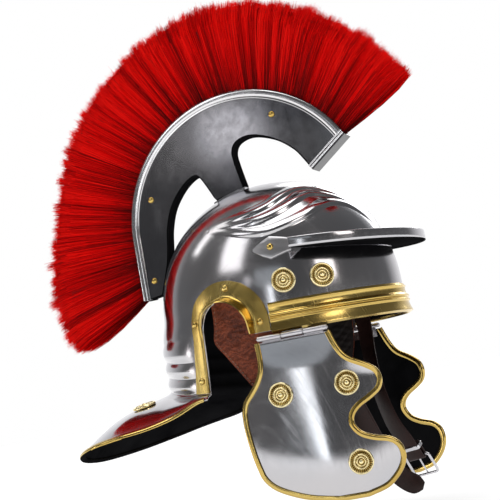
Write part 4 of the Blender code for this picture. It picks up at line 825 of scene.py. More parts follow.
def folded_edge(path, into, normals, sheet):
    """A rounded channel folded over a sheet's edge; the path runs along the edge's outer face."""
    half, depth = sheet / 2 + FITTING_GAP, FOLD_DEPTH
    wall = half + FOLD_SHEET
    angle = np.radians(np.linspace(90, 270, 13))
    outer = [(depth, wall - 0.3), (depth - 0.4, wall)]
    outer += [(0.2 + wall * 1.05 * math.cos(a), wall * math.sin(a)) for a in angle]
    outer += [(depth - 0.4, -wall), (depth, -wall + 0.3)]
    inner = [(depth, -half), (-0.6, -half), (-0.6, half), (depth, half)]
    return sweep(across_path(path - normals * sheet / 2, into, normals, outer + inner))


def blackened_below(obj, slope, lip=False):
    """Faces that look down, and on a lip those that look inwards too, get the black material of the inside.
    """
    obj.data.materials.append(MATERIALS["black"])
    for face in obj.data.polygons:
        inward = lip and face.normal.z < 0.5 and face.normal.xy.dot(face.center.xy) < 0
        face.material_index = int(face.normal.z < slope or inward)


def make_guard_trim():
    degrees = np.arange(GUARD_TRIM_START, 180, 1.0)
    degrees = np.concatenate([degrees, [180.0], -degrees[::-1]])
    edge = guard_point(degrees, 1.0)
    inner = guard_point(degrees, 0.93)
    run = tangents(edge)
    normals = unit(np.cross(inner - edge, run))
    normals = normals * np.sign(normals[:, 2:])
    into = unit(np.cross(run, normals))
    into = into * np.sign(np.sum(into * (inner - edge), 1, keepdims=True))
    fold = folded_edge(edge, into, normals, SHEET)
    binding = add_object("neck_guard_binding", *fold, "brass", outward=True)
    # Painted shade: the brass where the trim turns under and inwards is black
    blackened_below(binding, -0.35, lip=True)
    piece(binding, ["neck_guard_trim"])


def make_brow_band():
    degrees = np.linspace(-BAND_END, BAND_END, 151)
    section = curve(BAND_SECTION, 3, closed=True) - (0.0, BAND_LEVEL)
    base = skull_point(degrees, BAND_LEVEL)
    normal = skull_normal(degrees, np.full_like(degrees, BAND_LEVEL))
    normal[:, 2] = 0
    up = np.broadcast_to((0.0, 0.0, 1.0), base.shape)
    band = sweep(across_path(base, unit(normal), up, section))
    solid("brow_band_ribbed", band, "brass", "brow_band")


def make_ear_guard(name, side):
    """A flat arched plate on the bowl with a flange standing out along its inner edge."""
    arch_end = np.array((EAR_MIDDLE[0] + EAR_RADIUS, EAR_MIDDLE[1]))
    leg_end = np.array((EAR_LEG[0], EAR_LEG[1] + 2.0))
    leg = arch_end + (leg_end - arch_end) * np.linspace(0, 1, 16)[1:, None]
    front = EAR_MIDDLE[0] - EAR_RADIUS
    arch = on_arc(EAR_RADIUS, np.linspace(-90, 90, 40), EAR_MIDDLE)
    edge = np.vstack([[(front, 1.4)], [(front, 6.7)], arch, leg])
    # Shares of the way in the table count one step at the front, ten along the arch and four down the leg
    station = np.concatenate([[0, 0.5], np.linspace(1, 11, 40), 11 + 4 * np.linspace(0, 1, 16)[1:]]) / 15
    flat, flange = table_at(EAR_GUARD_WIDTHS, station)
    run = tangents(edge)
    away = np.stack([-run[:, 1], run[:, 0]], -1)

    def on_bowl(width, out):
        back, height = edge[:, 0] + away[:, 0] * width, edge[:, 1] + away[:, 1] * width
        return skull_at(side, back, height, out + 0 * flat)

    outward = unit(np.array((side, 0.0, 0.0)) - np.column_stack([0 * station, away]) * FLANGE_LEAN)
    sheet, proud = GUARD_SHEET, FITTING_GAP + GUARD_SHEET
    under = [on_bowl(0.4 + (flat - 0.4) * t, FITTING_GAP) for t in (0.0, 0.25, 0.5, 0.75, 0.97)]
    lip = [on_bowl(flat, FITTING_GAP + 0.35 * sheet)]
    over = [on_bowl(0.4 + sheet + 1.6 + (flat - 3.2) * t, proud) for t in (1.0, 0.75, 0.5, 0.25, 0.0)]
    corner = on_bowl(0.4 + sheet + 0 * flat, proud)
    fillet = np.minimum(FILLET, flange * 0.5)[:, None]
    turn = ((0.12, 0.45), (0.4, 0.14), (1.0, 0.0))
    bend = [corner + outward * fillet * a + (over[-1] - corner) * b for a, b in turn]
    tip_outer = corner + outward * flange[:, None]
    tip_inner = under[0] + outward * (flange + sheet)[:, None]
    bead = (tip_outer - tip_inner) * 0.5
    rolled = [tip_outer + outward * 0.5 + bead * 0.8, (tip_outer + tip_inner) / 2 + outward * 0.9,
              tip_inner - bead * 0.1]
    rows = np.stack(under + lip + over + bend + [tip_outer] + rolled, 1)
    solid("ear_guard_" + name + "_plate", sweep(rows), "brass", "ear_guard_" + name)


# Peak


def make_peak():
    """A flat plate with a turned-up strip along its rim and two pointed tabs on the bowl."""
    angle = np.radians(np.linspace(-90, 90, 121))
    rim = np.stack([PEAK_WIDE * np.sin(angle), PEAK_MIDDLE - PEAK_REACH * np.cos(angle)], -1)
    low = PEAK_HEIGHT + PEAK_SLOPE * (rim[:, 1] - PEAK_MIDDLE)
    bowl = skull_point(np.linspace(-PEAK_SEAT, PEAK_SEAT, 121), low, FITTING_GAP + 0 * low)
    away = unit(rim - bowl[:, :2])
    rows = [np.column_stack([rim + away * out, low + up]) for out, up in PEAK_RIM]
    for t in (0.1, 0.4, 0.7, 1.0):
        rows.append(np.column_stack([mixed(rim - away * PEAK_SHEET, bowl[:, :2], t), low + PEAK_SHEET]))
    for t in (1.0, 0.7, 0.4, 0.1, 0.0):
        rows.append(np.column_stack([mixed(rim - away * 0.5, bowl[:, :2], t), low]))
    peak = add_object("brow_peak_plate", *sweep(np.stack(rows, 1)), "steel", outward=True)
    blackened_below(peak, -0.6)
    piece(peak, ["brow_peak"])
    places, corners = np.linspace(0, 1, 25), np.linspace(0, 1, len(PEAK_TAB))
    back, bottom, top = [np.interp(places, corners, column) for column in np.array(PEAK_TAB).T]
    outer, inner, edge = FITTING_GAP + PEAK_SHEET, FITTING_GAP, FITTING_GAP + 0.9
    section = [(t, outer) for t in np.linspace(0.04, 0.96, 7)] + [(1.0, edge)]
    section += [(t, inner) for t in np.linspace(1, 0, 7)] + [(0.0, edge)]
    parts = []
    for side in (-1, 1):
        rows = [skull_at(side, back, mixed(bottom, top, t), out + 0 * back) for t, out in section]
        parts.append(sweep(np.stack(rows, 1)))
    solid("brow_peak_tabs", join(parts), "tab", "brow_peak")


# Crest


def crest_outer(inset):
    """The crest box's outer edge from the front over the arc and down: back, height."""
    arc = on_arc(ARC_RADIUS - inset, np.linspace(ARC_START, 90, 90))
    back = ARC_MIDDLE[0] + ARC_RADIUS - inset
    return np.vstack([arc, [(back, z) for z in np.linspace(110, TAIL_END, 8)]])


def flat_solid(outline, near, far):
    """A flat outline of back and height, solid between two distances across."""
    shape = bpy.data.curves.new("outline", "CURVE")
    shape.dimensions = "2D"
    shape.fill_mode = "BOTH"
    shape.extrude = (far - near) / 2
    spline = shape.splines.new("POLY")
    spline.points.add(len(outline) - 1)
    for point, (u, v) in zip(spline.points, outline):
        point.co = (u, v, 0, 1)
    spline.use_cyclic_u = True
    guide = bpy.data.objects.new("outline", shape)
    mesh = bpy.data.meshes.new_from_object(guide)
    bpy.data.objects.remove(guide)
    points = np.array([v.co for v in mesh.vertices])
    points = np.column_stack([points[:, 2] + (near + far) / 2, points[:, 0], points[:, 1]])
    return points, [list(f.vertices) for f in mesh.polygons]


def crest_outline(inset, lower_shift):
    """The crest box from the side, with both its edges moved."""
    lower = np.vstack([curve(part, 5) for part in CREST_LOWER])
    run = tangents(lower)
    lower = lower + np.stack([run[:, 1], -run[:, 0]], -1) * lower_shift
    return np.vstack([crest_outer(inset), lower])


def make_crest():
    """Two flat side plates with raised edge bands, the black block between them, and the end cap."""
    outline = crest_outline(0.0, 0.0)
    outer, inner = crest_outer(0.0), crest_outer(EDGE_WIDTH)
    for name, side in SIDES:
        near, far = sorted((side * (PLATE_OUT - PLATE_SHEET), side * PLATE_OUT))
        plate = flat_solid(outline, near, far)
        solid("crest_side_" + name, plate, "crest_steel", "crest_plate_" + name, angle=30)
        rows = []
        for inset, up in CREST_EDGE:
            line = mixed(outer, inner, inset / EDGE_WIDTH)
            rows.append(np.column_stack([np.full(len(line), side * (PLATE_OUT + up)), line]))
        points, faces = sweep(np.stack(rows, 1))
        band = add_object("crest_edge_" + name, points, faces, "crest_edge", outward=True, angle=30)
        # Painted shade in the band's grooves and painted highlight on its ridges, by how far each point
        # stands out
        set_shade(band, np.interp(np.abs(points[:, 0]) - PLATE_OUT, (0.4, 1.0, 1.4), (0.05, 0.55, 1.0)))
        piece(band, ["crest_plate_" + name])
    room = PLATE_OUT - PLATE_SHEET - GAP
    block = flat_solid(crest_outline(2.0, -1.6), -room, room)
    solid("crest_inner_block", block, "black", "crest_core")
    make_crest_cap()
    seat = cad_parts["crest_seat"]
    seat.data.materials.clear()
    seat.data.materials.append(MATERIALS["steel"])


def make_crest_cap():
    """The folded strip over the front end of the crest box, with two beads along each side."""
    corner, low = on_arc(ARC_RADIUS, np.array(ARC_START)), np.array(CREST_LOWER[1][-1])
    along = unit(low - corner)
    ahead = np.array((along[1], -along[0]))
    half = [(CAP_OUT - 1.0, GAP), (CAP_OUT - 1.0, CAP_BEADS[0][1])]
    half += [(CAP_OUT + up, out) for up, out in CAP_BEADS]
    section = [(-a, b) for a, b in reversed(half)] + half
    rows = [[(a, *(corner + along * t + ahead * b)) for a, b in section]
            for t in np.linspace(-0.5, np.linalg.norm(low - corner) + 1.0, 8)]
    cap = add_object("crest_end_cap", *sweep(rows), "crest_edge", outward=True, angle=30)
    # Painted shade darkens the grooves, and a painted reflection of the dark room darkens the end
    tone = [np.interp(abs(a) - CAP_OUT, (-0.25, 0.0, 0.25), (0.0, 0.45, 1.0)) * (0.25 if b > GAP else 1)
            for a, b in section]
    set_shade(cap, np.tile(tone, len(rows)))
    piece(cap, ["crest_cap"])


def plume_line(share):
    """Foot and tip of the bristle at each share of the way from front to back."""
    radius = ARC_RADIUS - 1.5
    arc = on_arc(radius, mixed(ARC_START + 1.0, 90, np.minimum(share / ARC_SHARE, 1)))
    down = np.maximum(share - ARC_SHARE, 0) / (1 - ARC_SHARE)
    height = mixed(ARC_MIDDLE[1], TAIL_END + 1.0, down)
    tail = np.stack([np.full_like(share, ARC_MIDDLE[0] + radius), height], -1)
    foot = np.where((share < ARC_SHARE)[..., None], arc, tail)
    angle = mixed(*TIP_ANGLES, share)
    radians = np.radians(angle)
    start, end = TAIL_ANGLES
    gain = TAIL_GAIN * smooth((angle - start) / (end - start))
    reach = TIP_RADIUS - END_LOSS * np.abs(np.sin(radians)) + gain
    tip = np.stack([ARC_MIDDLE[0] + reach * np.sin(radians), ARC_MIDDLE[1] + reach * np.cos(radians)], -1)
    return foot, tip


def make_plume_top(rng):
    """The rough surface of packed bristle ends along the top of the plume."""
    shares = np.linspace(0.012, 0.988, TUFTS[0])
    places = np.linspace(-1, 1, TUFTS[1])
    foot, tip = plume_line(shares)
    drop = rng.uniform(0.0, 1.0, TUFTS) ** 1.5 * TUFT_DEPTH
    level = 0.985 - drop / 90.0 - 0.05 * np.abs(places)[None] ** 4
    half = np.interp(level, *np.array(PLUME_WIDTHS).T) - 0.6
    grid = np.zeros((*TUFTS, 3))
    grid[..., 0] = half * places[None] + rng.normal(0, 0.12, TUFTS)
    grid[..., 1:] = mixed(foot[:, None], tip[:, None], level[..., None])
    top = add_object("plume_top", grid.reshape(-1, 3), grid_faces(*TUFTS), "bristle", angle=180)
    # Painted shade: tufts that sit lower are darker; the tone also varies at random
    set_shade(top, (0.95 - drop / TUFT_DEPTH * 0.75 + rng.normal(0, 0.08, TUFTS)).reshape(-1))
    return top


def make_plume_bed():
    """The dark body that the bristles hide, painted shade for the shaded depths of the plume."""
    foot, tip = plume_line(np.linspace(0.014, 0.986, 181))
    rows = []
    for level, half in BED_WIDTHS:
        middle = mixed(foot, tip, level)
        rows.append(np.column_stack([np.full(len(middle), half), middle]))
    rows += [row * (-1, 1, 1) for row in reversed(rows)]
    return add_object("plume_bed", *sweep(np.stack(rows, 1)), "bed", outward=True)


def make_bristles(rng, name, side, lock_edges, lock_tone, lock_length):
    """One half of the plume: flat bristles a fraction of a millimetre wide, drawn together in their locks."""
    count = BRISTLES
    levels, widths, tones = np.array(BRISTLE).T
    share = rng.uniform(-0.02, 1.02, count).clip(0.0, 1.0)
    ends = (share == 0.0) | (share == 1.0)
    share = np.where(ends, np.abs(share - rng.uniform(0, 0.012, count)), share)
    lock = np.searchsorted(lock_edges, share).clip(0, LOCKS)
    centre = np.where(lock > 0, lock_edges[np.maximum(lock - 1, 0)], 0.0)
    centre = (centre + lock_edges[np.minimum(lock, LOCKS - 1)]) / 2
    at_surface = rng.uniform(0, 1, count) < 0.62
    depth = np.where(at_surface, rng.uniform(0.88, 1.0, count), rng.uniform(0.0, 0.9, count))
    depth = np.where(ends, rng.uniform(0.0, 1.0, count), depth)
    foot, _ = plume_line(share)
    pulled = share + (centre - share) * rng.uniform(0.0, 0.6, count)
    _, tip = plume_line(np.clip(pulled + rng.normal(0, 0.0028, count), 0, 1))
    extra = lock_length[lock] + rng.normal(0.4, 2.2, count) - 2.6 * depth**4
    run = unit(tip - foot)
    tip = tip + run * extra[:, None]
    bow = rng.normal(0, 0.9, count)[:, None] * np.stack([-run[:, 1], run[:, 0]], -1)
    halves = np.interp(levels, *np.array(PLUME_WIDTHS).T)
    wobble = rng.normal(0, 0.35, count)
    path = np.zeros((count, len(levels), 3))
    for k, (level, half) in enumerate(zip(levels, halves)):
        path[:, k, 0] = side * (depth * half + wobble * level)
        path[:, k, 1:] = mixed(foot, tip, level) + bow * math.sin(math.pi * level)
    turn = rng.uniform(-0.9, 0.9, count)
    across = np.stack([np.sin(turn), -run[:, 1] * np.cos(turn), run[:, 0] * np.cos(turn)], -1)
    width = rng.uniform(0.16, 0.34, count)[:, None, None] * widths[None, :, None]
    left, right = path - across[:, None] * width, path + across[:, None] * width
    points = np.stack([left, right], 2).reshape(-1, 3)
    base = (np.arange(count) * 2 * len(levels))[:, None, None]
    step = (np.arange(len(levels) - 1) * 2)[None, :, None]
    faces = (base + step + np.array((0, 1, 3, 2))[None, None]).reshape(-1, 4)
    obj = add_object("plume_bristles_" + name, points, faces, "bristle")
    # Each lock and bristle has its own tone; painted shade darkens the bristles deep in the plume, most
    # towards their roots
    tone = 0.62 + lock_tone[lock] + rng.normal(0, 0.19, count)
    tone = tone[:, None] + tones[None] - 0.35 * (1 - depth)[:, None] * (1 - levels)[None]
    set_shade(obj, np.repeat(tone, 2, axis=1).reshape(-1))
    return obj


def make_plume():
    """Bristles over a dark bed of painted shade, gathered in uneven locks, with a rough top."""
    rng = np.random.default_rng(PLUME_SEED)
    bed = make_plume_bed()
    top = make_plume_top(rng)
    sizes = rng.uniform(0.6, 1.5, LOCKS)
    edges = np.cumsum(sizes) / sizes.sum()
    tones = rng.uniform(-0.2, 0.2, LOCKS + 2)
    lengths = rng.normal(0, 2.0, LOCKS + 2)
    halves = [make_bristles(rng, name, side, edges, tones, lengths) for name, side in SIDES]
    for obj in halves + [bed, top]:
        piece(obj, ["crest_plume"])


# Cheek pieces


def hinge_frame(side):
    centre = np.array((side * HINGE_PLACE[0], HINGE_PLACE[1], HINGE_PLACE[2]))
    forward = np.array((-side * math.sin(HINGE_SLANT), -math.cos(HINGE_SLANT), 0.0))
    outward = np.array((side * math.cos(HINGE_SLANT), -math.sin(HINGE_SLANT), 0.0))
    return centre, forward, outward


def cheek_dome(back, height):
    """How far the hammered dome stands out: most in the middle, less below the hinge and at the jaw."""
    middle, top, jaw, arc = CHEEK_DOME
    sag = arc * ((back - middle) / CHEEK_CROWN_REACH) ** 2
    below = np.maximum(jaw + sag - height, 0)
    above = np.maximum(height - top, 0)
    return TOP_BEND * ((HINGE_PLACE[2] - top) ** 2 - above**2) - JAW_BEND * below**2


def cheek_point(side, back, height):
    centre, forward, outward = hinge_frame(side)
    back, height = np.broadcast_arrays(np.asarray(back, float), np.asarray(height, float))
    ahead = (HINGE_PLACE[1] - back) / math.cos(HINGE_SLANT)
    down = HINGE_PLACE[2] - height
    bend = 0.0
    for reach, (start, size) in ((ahead, CHEEK_BENDS[0]), (-ahead, CHEEK_BENDS[1])):
        bend = bend + np.maximum(0.0, reach - start) ** 2 / size
    bend = bend * smooth((down - CHEEK_BEND_START) / CHEEK_BEND_DEPTH)
    crown_line = CHEEK_CROWN_LINE - CHEEK_CROWN_LEAN * (down - 10.0)
    crown = np.cos(math.pi / 2 * np.clip((back - crown_line) / CHEEK_CROWN_REACH, -1, 1)) ** 2
    lift = CHEEK_SHEET / 2 + CHEEK_FLARE * down - bend + CHEEK_CROWN * crown * smooth((down - 6.0) / 30.0)
    lift = lift + cheek_dome(back, height)
    up = np.stack([0 * down, 0 * down, -down], -1)
    return centre + forward * ahead[..., None] + outward * lift[..., None] + up


def cheek_normal(side, back, height):
    across = cheek_point(side, back + 1.0, height) - cheek_point(side, back - 1.0, height)
    up = cheek_point(side, back, height + 1.0) - cheek_point(side, back, height - 1.0)
    normal = unit(np.cross(across, up))
    return normal * np.sign(normal[..., :1] * side)


def make_cheek(name, side):
    body = "cheek_" + name
    height, front, back = curve(CHEEK_ROWS, 8).T
    places = np.linspace(0, 1, 61)
    grid = cheek_point(side, front[:, None] + (back - front)[:, None] * places[None], height[:, None])
    if side < 0:
        grid = grid[:, ::-1]
    sheet = add_object(body + "_sheet", grid.reshape(-1, 3), grid_faces(*grid.shape[:2]), "cheek", angle=50)
    solidify(sheet, CHEEK_SHEET)
    piece(sheet, ["cheek_plate_" + name], body)
    height, front, back = curve(CHEEK_ROWS, 32).T
    edge = np.vstack([np.column_stack([front, height]), np.column_stack([back, height])[::-1]])
    edge = evenly(edge, 280)
    path = cheek_point(side, edge[:, 0], edge[:, 1])
    normals = cheek_normal(side, edge[:, 0], edge[:, 1])
    into = unit(np.cross(normals, tangents(path))) * side
    fold = folded_edge(path, into, normals, CHEEK_SHEET)
    solid(body + "_binding", fold, "brass", "cheek_trim_" + name, body)


def hinge_tube(side, start, end, radius, bore):
    """A knuckle between two places along the hinge, with eased ends and a bore."""
    centre, forward, outward = hinge_frame(side)
    ease = 0.35
    profile = ((start, bore), (start, radius - ease), (start + ease, radius),
               (end - ease, radius), (end, radius - ease), (end, bore))
    angle = (np.arange(28) * 2 * math.pi / 28)[:, None]
    ring = outward * np.cos(angle) + np.array((0, 0, 1.0)) * np.sin(angle)
    return sweep([centre + forward * at + r * ring for at, r in profile], closed=True)


def hinge_leaf(side, start, end, outline):
    """A strip with this cross-section, outwards and up from the hinge's axis."""
    centre, forward, outward = hinge_frame(side)
    section = np.array([outward * out + np.array((0, 0, up)) for out, up in outline])
    return sweep([centre + forward * at + section for at in (start, end)])


def make_hinge(name, side):
    """Two knuckles and a leaf behind the cheek plate, one knuckle and a leaf inside the bowl, and the pin."""
    inner = -CHEEK_SHEET / 2 - GAP
    lean = CHEEK_FLARE * 12.0
    leaf = [(inner - 0.9, -3.2), (inner, -3.2), (inner + lean, -12.0), (inner - 0.9 + lean, -12.0)]
    tongue = [(inner - 0.9, -1.0), (inner, -1.6), (inner + 0.3, -6.0), (inner - 0.6, -6.0)]
    parts = [hinge_leaf(side, -LEAF_HALF, LEAF_HALF, leaf)]
    room = LEAF_HALF - 0.2
    for start, end in ((-HINGE_HALF, -KNUCKLE_GAP), (KNUCKLE_GAP, HINGE_HALF)):
        parts.append(hinge_tube(side, start, end, KNUCKLE, BORE))
        parts.append(hinge_leaf(side, max(start, -room) + 0.4, min(end, room) - 0.4, tongue))
    leaf_node, body = "hinge_cheek_leaf_" + name, "cheek_" + name
    solid("hinge_cheek_" + name, join(parts), "hinge", leaf_node, body)
    arm = [(-1.7, 1.2), (-0.9, 2.2), (-7.0, 2.2), (-7.0, 15.0), (-7.9, 15.0), (-7.9, 1.2)]
    parts = [hinge_tube(side, -10.2, 10.2, KNUCKLE, BORE), hinge_leaf(side, -10.1, 10.1, arm)]
    solid("hinge_bowl_" + name, join(parts), "hinge", "hinge_bowl_leaf_" + name)
    pin = hinge_tube(side, -HINGE_HALF - 0.8, HINGE_HALF + 0.8, PIN, 0.02)
    solid("hinge_rod_" + name, pin, "bright", "hinge_pin_" + name)


# Rosettes and rivets


def polar_solid(radii, heights, sides, ripple=None):
    """A turned solid on a flat back, and painted light and shade from its relief; ripple changes the height
    by radius and angle.
    """
    angle = np.arange(sides) * 2 * math.pi / sides
    radii, heights = np.array(radii), np.array(heights)
    z = np.broadcast_to(heights[:, None], (len(radii), sides)).copy()
    spread = np.pad(np.vstack([0 * z[:1], z]), ((4, 4), (0, 0)), mode="edge")
    spread = np.mean([spread[n:n + len(z) + 1] for n in range(9)], axis=0)
    if ripple is not None:
        z = z + ripple(radii[:, None], angle[None])
    points = np.stack([radii[:, None] * np.cos(angle), radii[:, None] * np.sin(angle), z], -1)
    base = np.stack([radii[0] * np.cos(angle), radii[0] * np.sin(angle), 0 * angle], -1)[None]
    grid = np.concatenate([base, points])
    faces = grid_faces(grid.shape[0], sides, True).tolist()
    faces.append(list(range(sides))[::-1])
    # Painted highlight where the surface stands above its neighbours, painted shade where it sinks
    relief = 0.5 + (grid[..., 2] - spread) / 2.0
    middle = grid.shape[0] * sides
    last = middle - sides
    faces += [[last + n, last + (n + 1) % sides, middle] for n in range(sides)]
    points = np.vstack([grid.reshape(-1, 3), [[0, 0, float(z[-1].mean())]]])
    return points, faces, np.append(relief.reshape(-1), 0.6)


def set_shade(obj, values):
    shade = obj.data.attributes.new("shade", "FLOAT", "POINT")
    shade.data.foreach_set("value", np.clip(values, 0, 1).astype(np.float32))


def set_down(shape, point, normal, turn=0.0):
    """Moves a turned shape onto a surface, its axis along the surface's normal."""
    points, faces, _ = shape
    matrix = (Vector(normal).to_track_quat("Z", "Y").to_matrix() @ Matrix.Rotation(turn, 3, "Z"))
    return points @ np.array(matrix).T + point + np.array(normal) * GAP, faces


def rosette_shape():
    """Raised rim, a ring of short rays, two rings and a boss."""
    section = curve(ROSETTE, 2)

    def rays(radius, angle):
        height = 0
        for inner, outer, soft, count, rise, lift in ROSETTE_RAYS:
            band = smooth((radius - inner) / soft) * smooth((outer - radius) / soft)
            height = height + band * (rise * np.cos(count * angle) + lift)
        return height

    return polar_solid(section[:, 0], section[:, 1], ROSETTE_SIDES, rays)


def rivet_shape():
    angle = np.radians(np.linspace(4, 86, 9))
    radii = np.concatenate([[RIVET_RADIUS], RIVET_RADIUS * np.cos(angle)])
    heights = np.concatenate([[0.2], 0.25 + (RIVET_RISE - 0.25) * np.sin(angle)])
    return polar_solid(radii, heights, RIVET_SIDES)


def fasten(name, shape, point, normal, node, body=ROOT, material="rosette", turn=0.0):
    points, faces = set_down(shape, np.array(point, float), np.array(normal, float), turn)
    obj = add_object(name, points, faces, material, outward=True, angle=60)
    set_shade(obj, shape[2])
    piece(obj, [node], body)


def make_fastenings():
    rosette, rivet = rosette_shape(), rivet_shape()
    for n, (degrees, share) in enumerate(GUARD_ROSETTES):
        flip = (1 if degrees > 0 else -1, 1, 1)
        at = abs(degrees)
        point = guard_point(at, share) * flip
        across = point - guard_point(at - 2, share) * flip if degrees != 180 else np.array((1.0, 0, 0))
        out = (guard_point(at, share + 0.05) - guard_point(at, share - 0.05)) * flip
        normal = unit(np.cross(across, out))
        fasten(f"neck_rosette_{n + 1}", rosette, point, normal * np.sign(normal[2]), f"guard_rosette_{n + 1}")
    for name, side in SIDES:
        for n, (back, height) in enumerate(BOWL_ROSETTES):
            degrees = side * skull_angle(back, height)
            fasten(f"bowl_disc_{name}_{n + 1}", rosette, skull_point(degrees, height),
                   skull_normal(degrees, height), f"bowl_rosette_{name}_{n + 1}", turn=0.7 * n)
        for n, (back, height) in enumerate(CHEEK_ROSETTES):
            point, normal = cheek_point(side, back, height), cheek_normal(side, back, height)
            fasten(f"cheek_disc_{name}_{n + 1}", rosette, point, normal,
                   f"cheek_rosette_{name}_{n + 1}", "cheek_" + name, turn=0.4 * n)
        for n, (back, height) in enumerate(EAR_RIVETS):
            degrees = side * skull_angle(back, height)
            fasten(f"ear_stud_{name}_{n + 1}", rivet, skull_point(degrees, height, FITTING_GAP + GUARD_SHEET),
                   skull_normal(degrees, height), f"ear_rivet_{name}_{n + 1}", material="brass")
        for n, (back, height) in enumerate(CREST_RIVETS):
            fasten(f"crest_stud_{name}_{n + 1}", rivet, (side * PLATE_OUT, back, height), (side, 0, 0),
                   f"crest_rivet_{name}_{n + 1}", material="brass")
        degrees = side * skull_angle(*TAB_RIVET)
        fasten("peak_stud_" + name, rivet, skull_point(degrees, TAB_RIVET[1], FITTING_GAP + PEAK_SHEET),
               skull_normal(degrees, TAB_RIVET[1]), "peak_rivet_" + name, material="brass")


# Leather


def make_flap(name, side):
    """The wrinkled leather tongue inside an ear opening, with a stitched back edge."""
    height, front, back = curve(FLAP_ROWS, 14).T
    places = np.linspace(0, 1, 71)
    flat = front[:, None] + (back - front)[:, None] * places[None]
    settle = FLAP_SETTLE * smooth((FLAP_ROWS[0][0] - height) / 30.0)
    inset = SHEET + FITTING_GAP + GAP + settle
    hang = np.maximum(height, FLAP_HANG)
    grid = skull_at(side, flat, hang[:, None] + 0 * flat, -inset[:, None] + 0 * flat)
    grid[..., 2] = height[:, None]
    phase = 0.55 * height[:, None] + 0.28 * flat + 1.6 * np.sin(flat * 0.16 + height[:, None] * 0.07)
    crease = np.sin(phase) * 0.5 + 0.35 * np.sin(1.9 * phase + 0.12 * flat)
    crease = crease + 0.25 * np.sin(0.31 * flat - 0.9 * height[:, None])
    fade = smooth(np.minimum(places, 1 - places)[None] / 0.08)
    grid[..., 0] -= side * (0.8 - 0.8 * crease) * fade
    rear = grid.copy()
    rear[..., 0] -= side * LEATHER
    ring = np.concatenate([grid, rear[:, ::-1]], axis=1)
    flap = add_object("liner_tongue_" + name, *sweep(ring), "liner", outward=True)
    flap.data.materials.append(MATERIALS["liner_back"])
    for face in flap.data.polygons:
        face.material_index = int(face.normal.x * side < -0.3)
    piece(flap, ["liner_flap_" + name])
    make_stitches(name, side, evenly(grid[:, -1], 200))


def make_stitches(name, side, edge):
    """A line of stitches beside the back edge of a leather flap."""
    edge = edge[edge[:, 2] > STITCH_END]
    edge[:, 1] -= STITCH_INSET
    edge[:, 0] += side * 0.35
    along = np.concatenate([[0], np.cumsum(np.linalg.norm(np.diff(edge, axis=0), axis=1))])
    parts = []
    for start in np.arange(STITCH_START, along[-1] - 4.0, STITCH_SPACING):
        places = np.linspace(start, start + STITCH, 5)
        stitch = np.stack([np.interp(places, along, edge[:, n]) for n in range(3)], 1)
        parts.append(wire(stitch, np.array(STITCH_ROUND), 6, up=(0, 1, 0.2)))
    thread = add_object("liner_stitches_" + name, *join(parts), "thread", outward=True)
    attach(thread, ROOT)


def strap_frames(side, table):
    """A strap's middle line, and along it the directions of its run, its width and its face."""
    line = curve([row[:3] for row in table], 8)
    turns = np.radians(curve([(row[3],) for row in table], 8)[:, 0])
    run = unit(np.gradient(line, axis=0))
    face = np.array((1.0, 0, 0)) - run * run[:, :1]
    face = unit(face)
    other = np.cross(run, face)
    face = face * np.cos(turns)[:, None] + other * np.sin(turns)[:, None]
    wide = unit(np.cross(run, face))
    flip = np.array((side, 1, 1))
    return line * flip, run * flip, wide * flip, face * flip


def ribbon(point, wide, face, widths):
    """A strap with softly rounded edges and a pressed line along each side."""
    section = np.array(STRAP_SECTION)
    aside, out = section[None, :, :1], section[None, :, 1:]
    widths = np.broadcast_to(widths, (len(point),))[:, None, None]
    return sweep(point[:, None] + wide[:, None] * aside * widths / 2 + face[:, None] * out * LEATHER / 2)


def make_straps():
    """The tail with its pointed end, and the strap that is folded round the buckle's bar."""
    point, run, wide, face = strap_frames(-1, TAIL_STRAP)
    apart = np.linalg.norm(point - point[-1], axis=1)
    widths = STRAP_WIDTH * (1 - 0.62 * (1 - np.minimum(1, apart / TIP_LENGTH)) ** 1.6)
    tail = ribbon(point, wide, face, widths)
    solid("chin_strap_tail", tail, "strap", "chin_strap_right")
    fasten_strap_rivet("right", point, run, face)
    point, run, wide, face = strap_frames(1, BUCKLE_STRAP)
    fasten_strap_rivet("left", point, run, face)
    radius = BUCKLE_BAR + GAP + LEATHER / 2
    end, along, across, flat = point[-1], run[-1], wide[-1], face[-1]
    bar = end + flat * radius + along * 2.0
    angle = np.radians(np.linspace(-90, 90, 17))[:, None]
    ray = along * np.cos(angle) + flat * np.sin(angle)
    bend = bar + ray * radius
    back = bend[-1] - along * np.linspace(1.5, FOLD_BACK, 8)[:, None]
    point = np.vstack([point, bend, back])
    wide = np.vstack([wide, np.broadcast_to(across, (len(bend) + len(back), 3))])
    face = np.vstack([face, -ray, np.broadcast_to(-ray[-1], back.shape)])
    strap = ribbon(point, wide, face, STRAP_WIDTH)
    solid("chin_strap_buckle_end", strap, "strap", "chin_strap_left")
    make_buckle(bar, along, across, flat)
    make_keeper(end + flat * radius - along * 9.0, along, across, flat, radius)


def fasten_strap_rivet(name, point, run, face):
    place_on = point[0] + run[0] * STRAP_RIVET_DROP - face[0] * LEATHER / 2
    fasten("strap_stud_" + name, rivet_shape(), place_on, -face[0], "strap_rivet_" + name, material="brass")


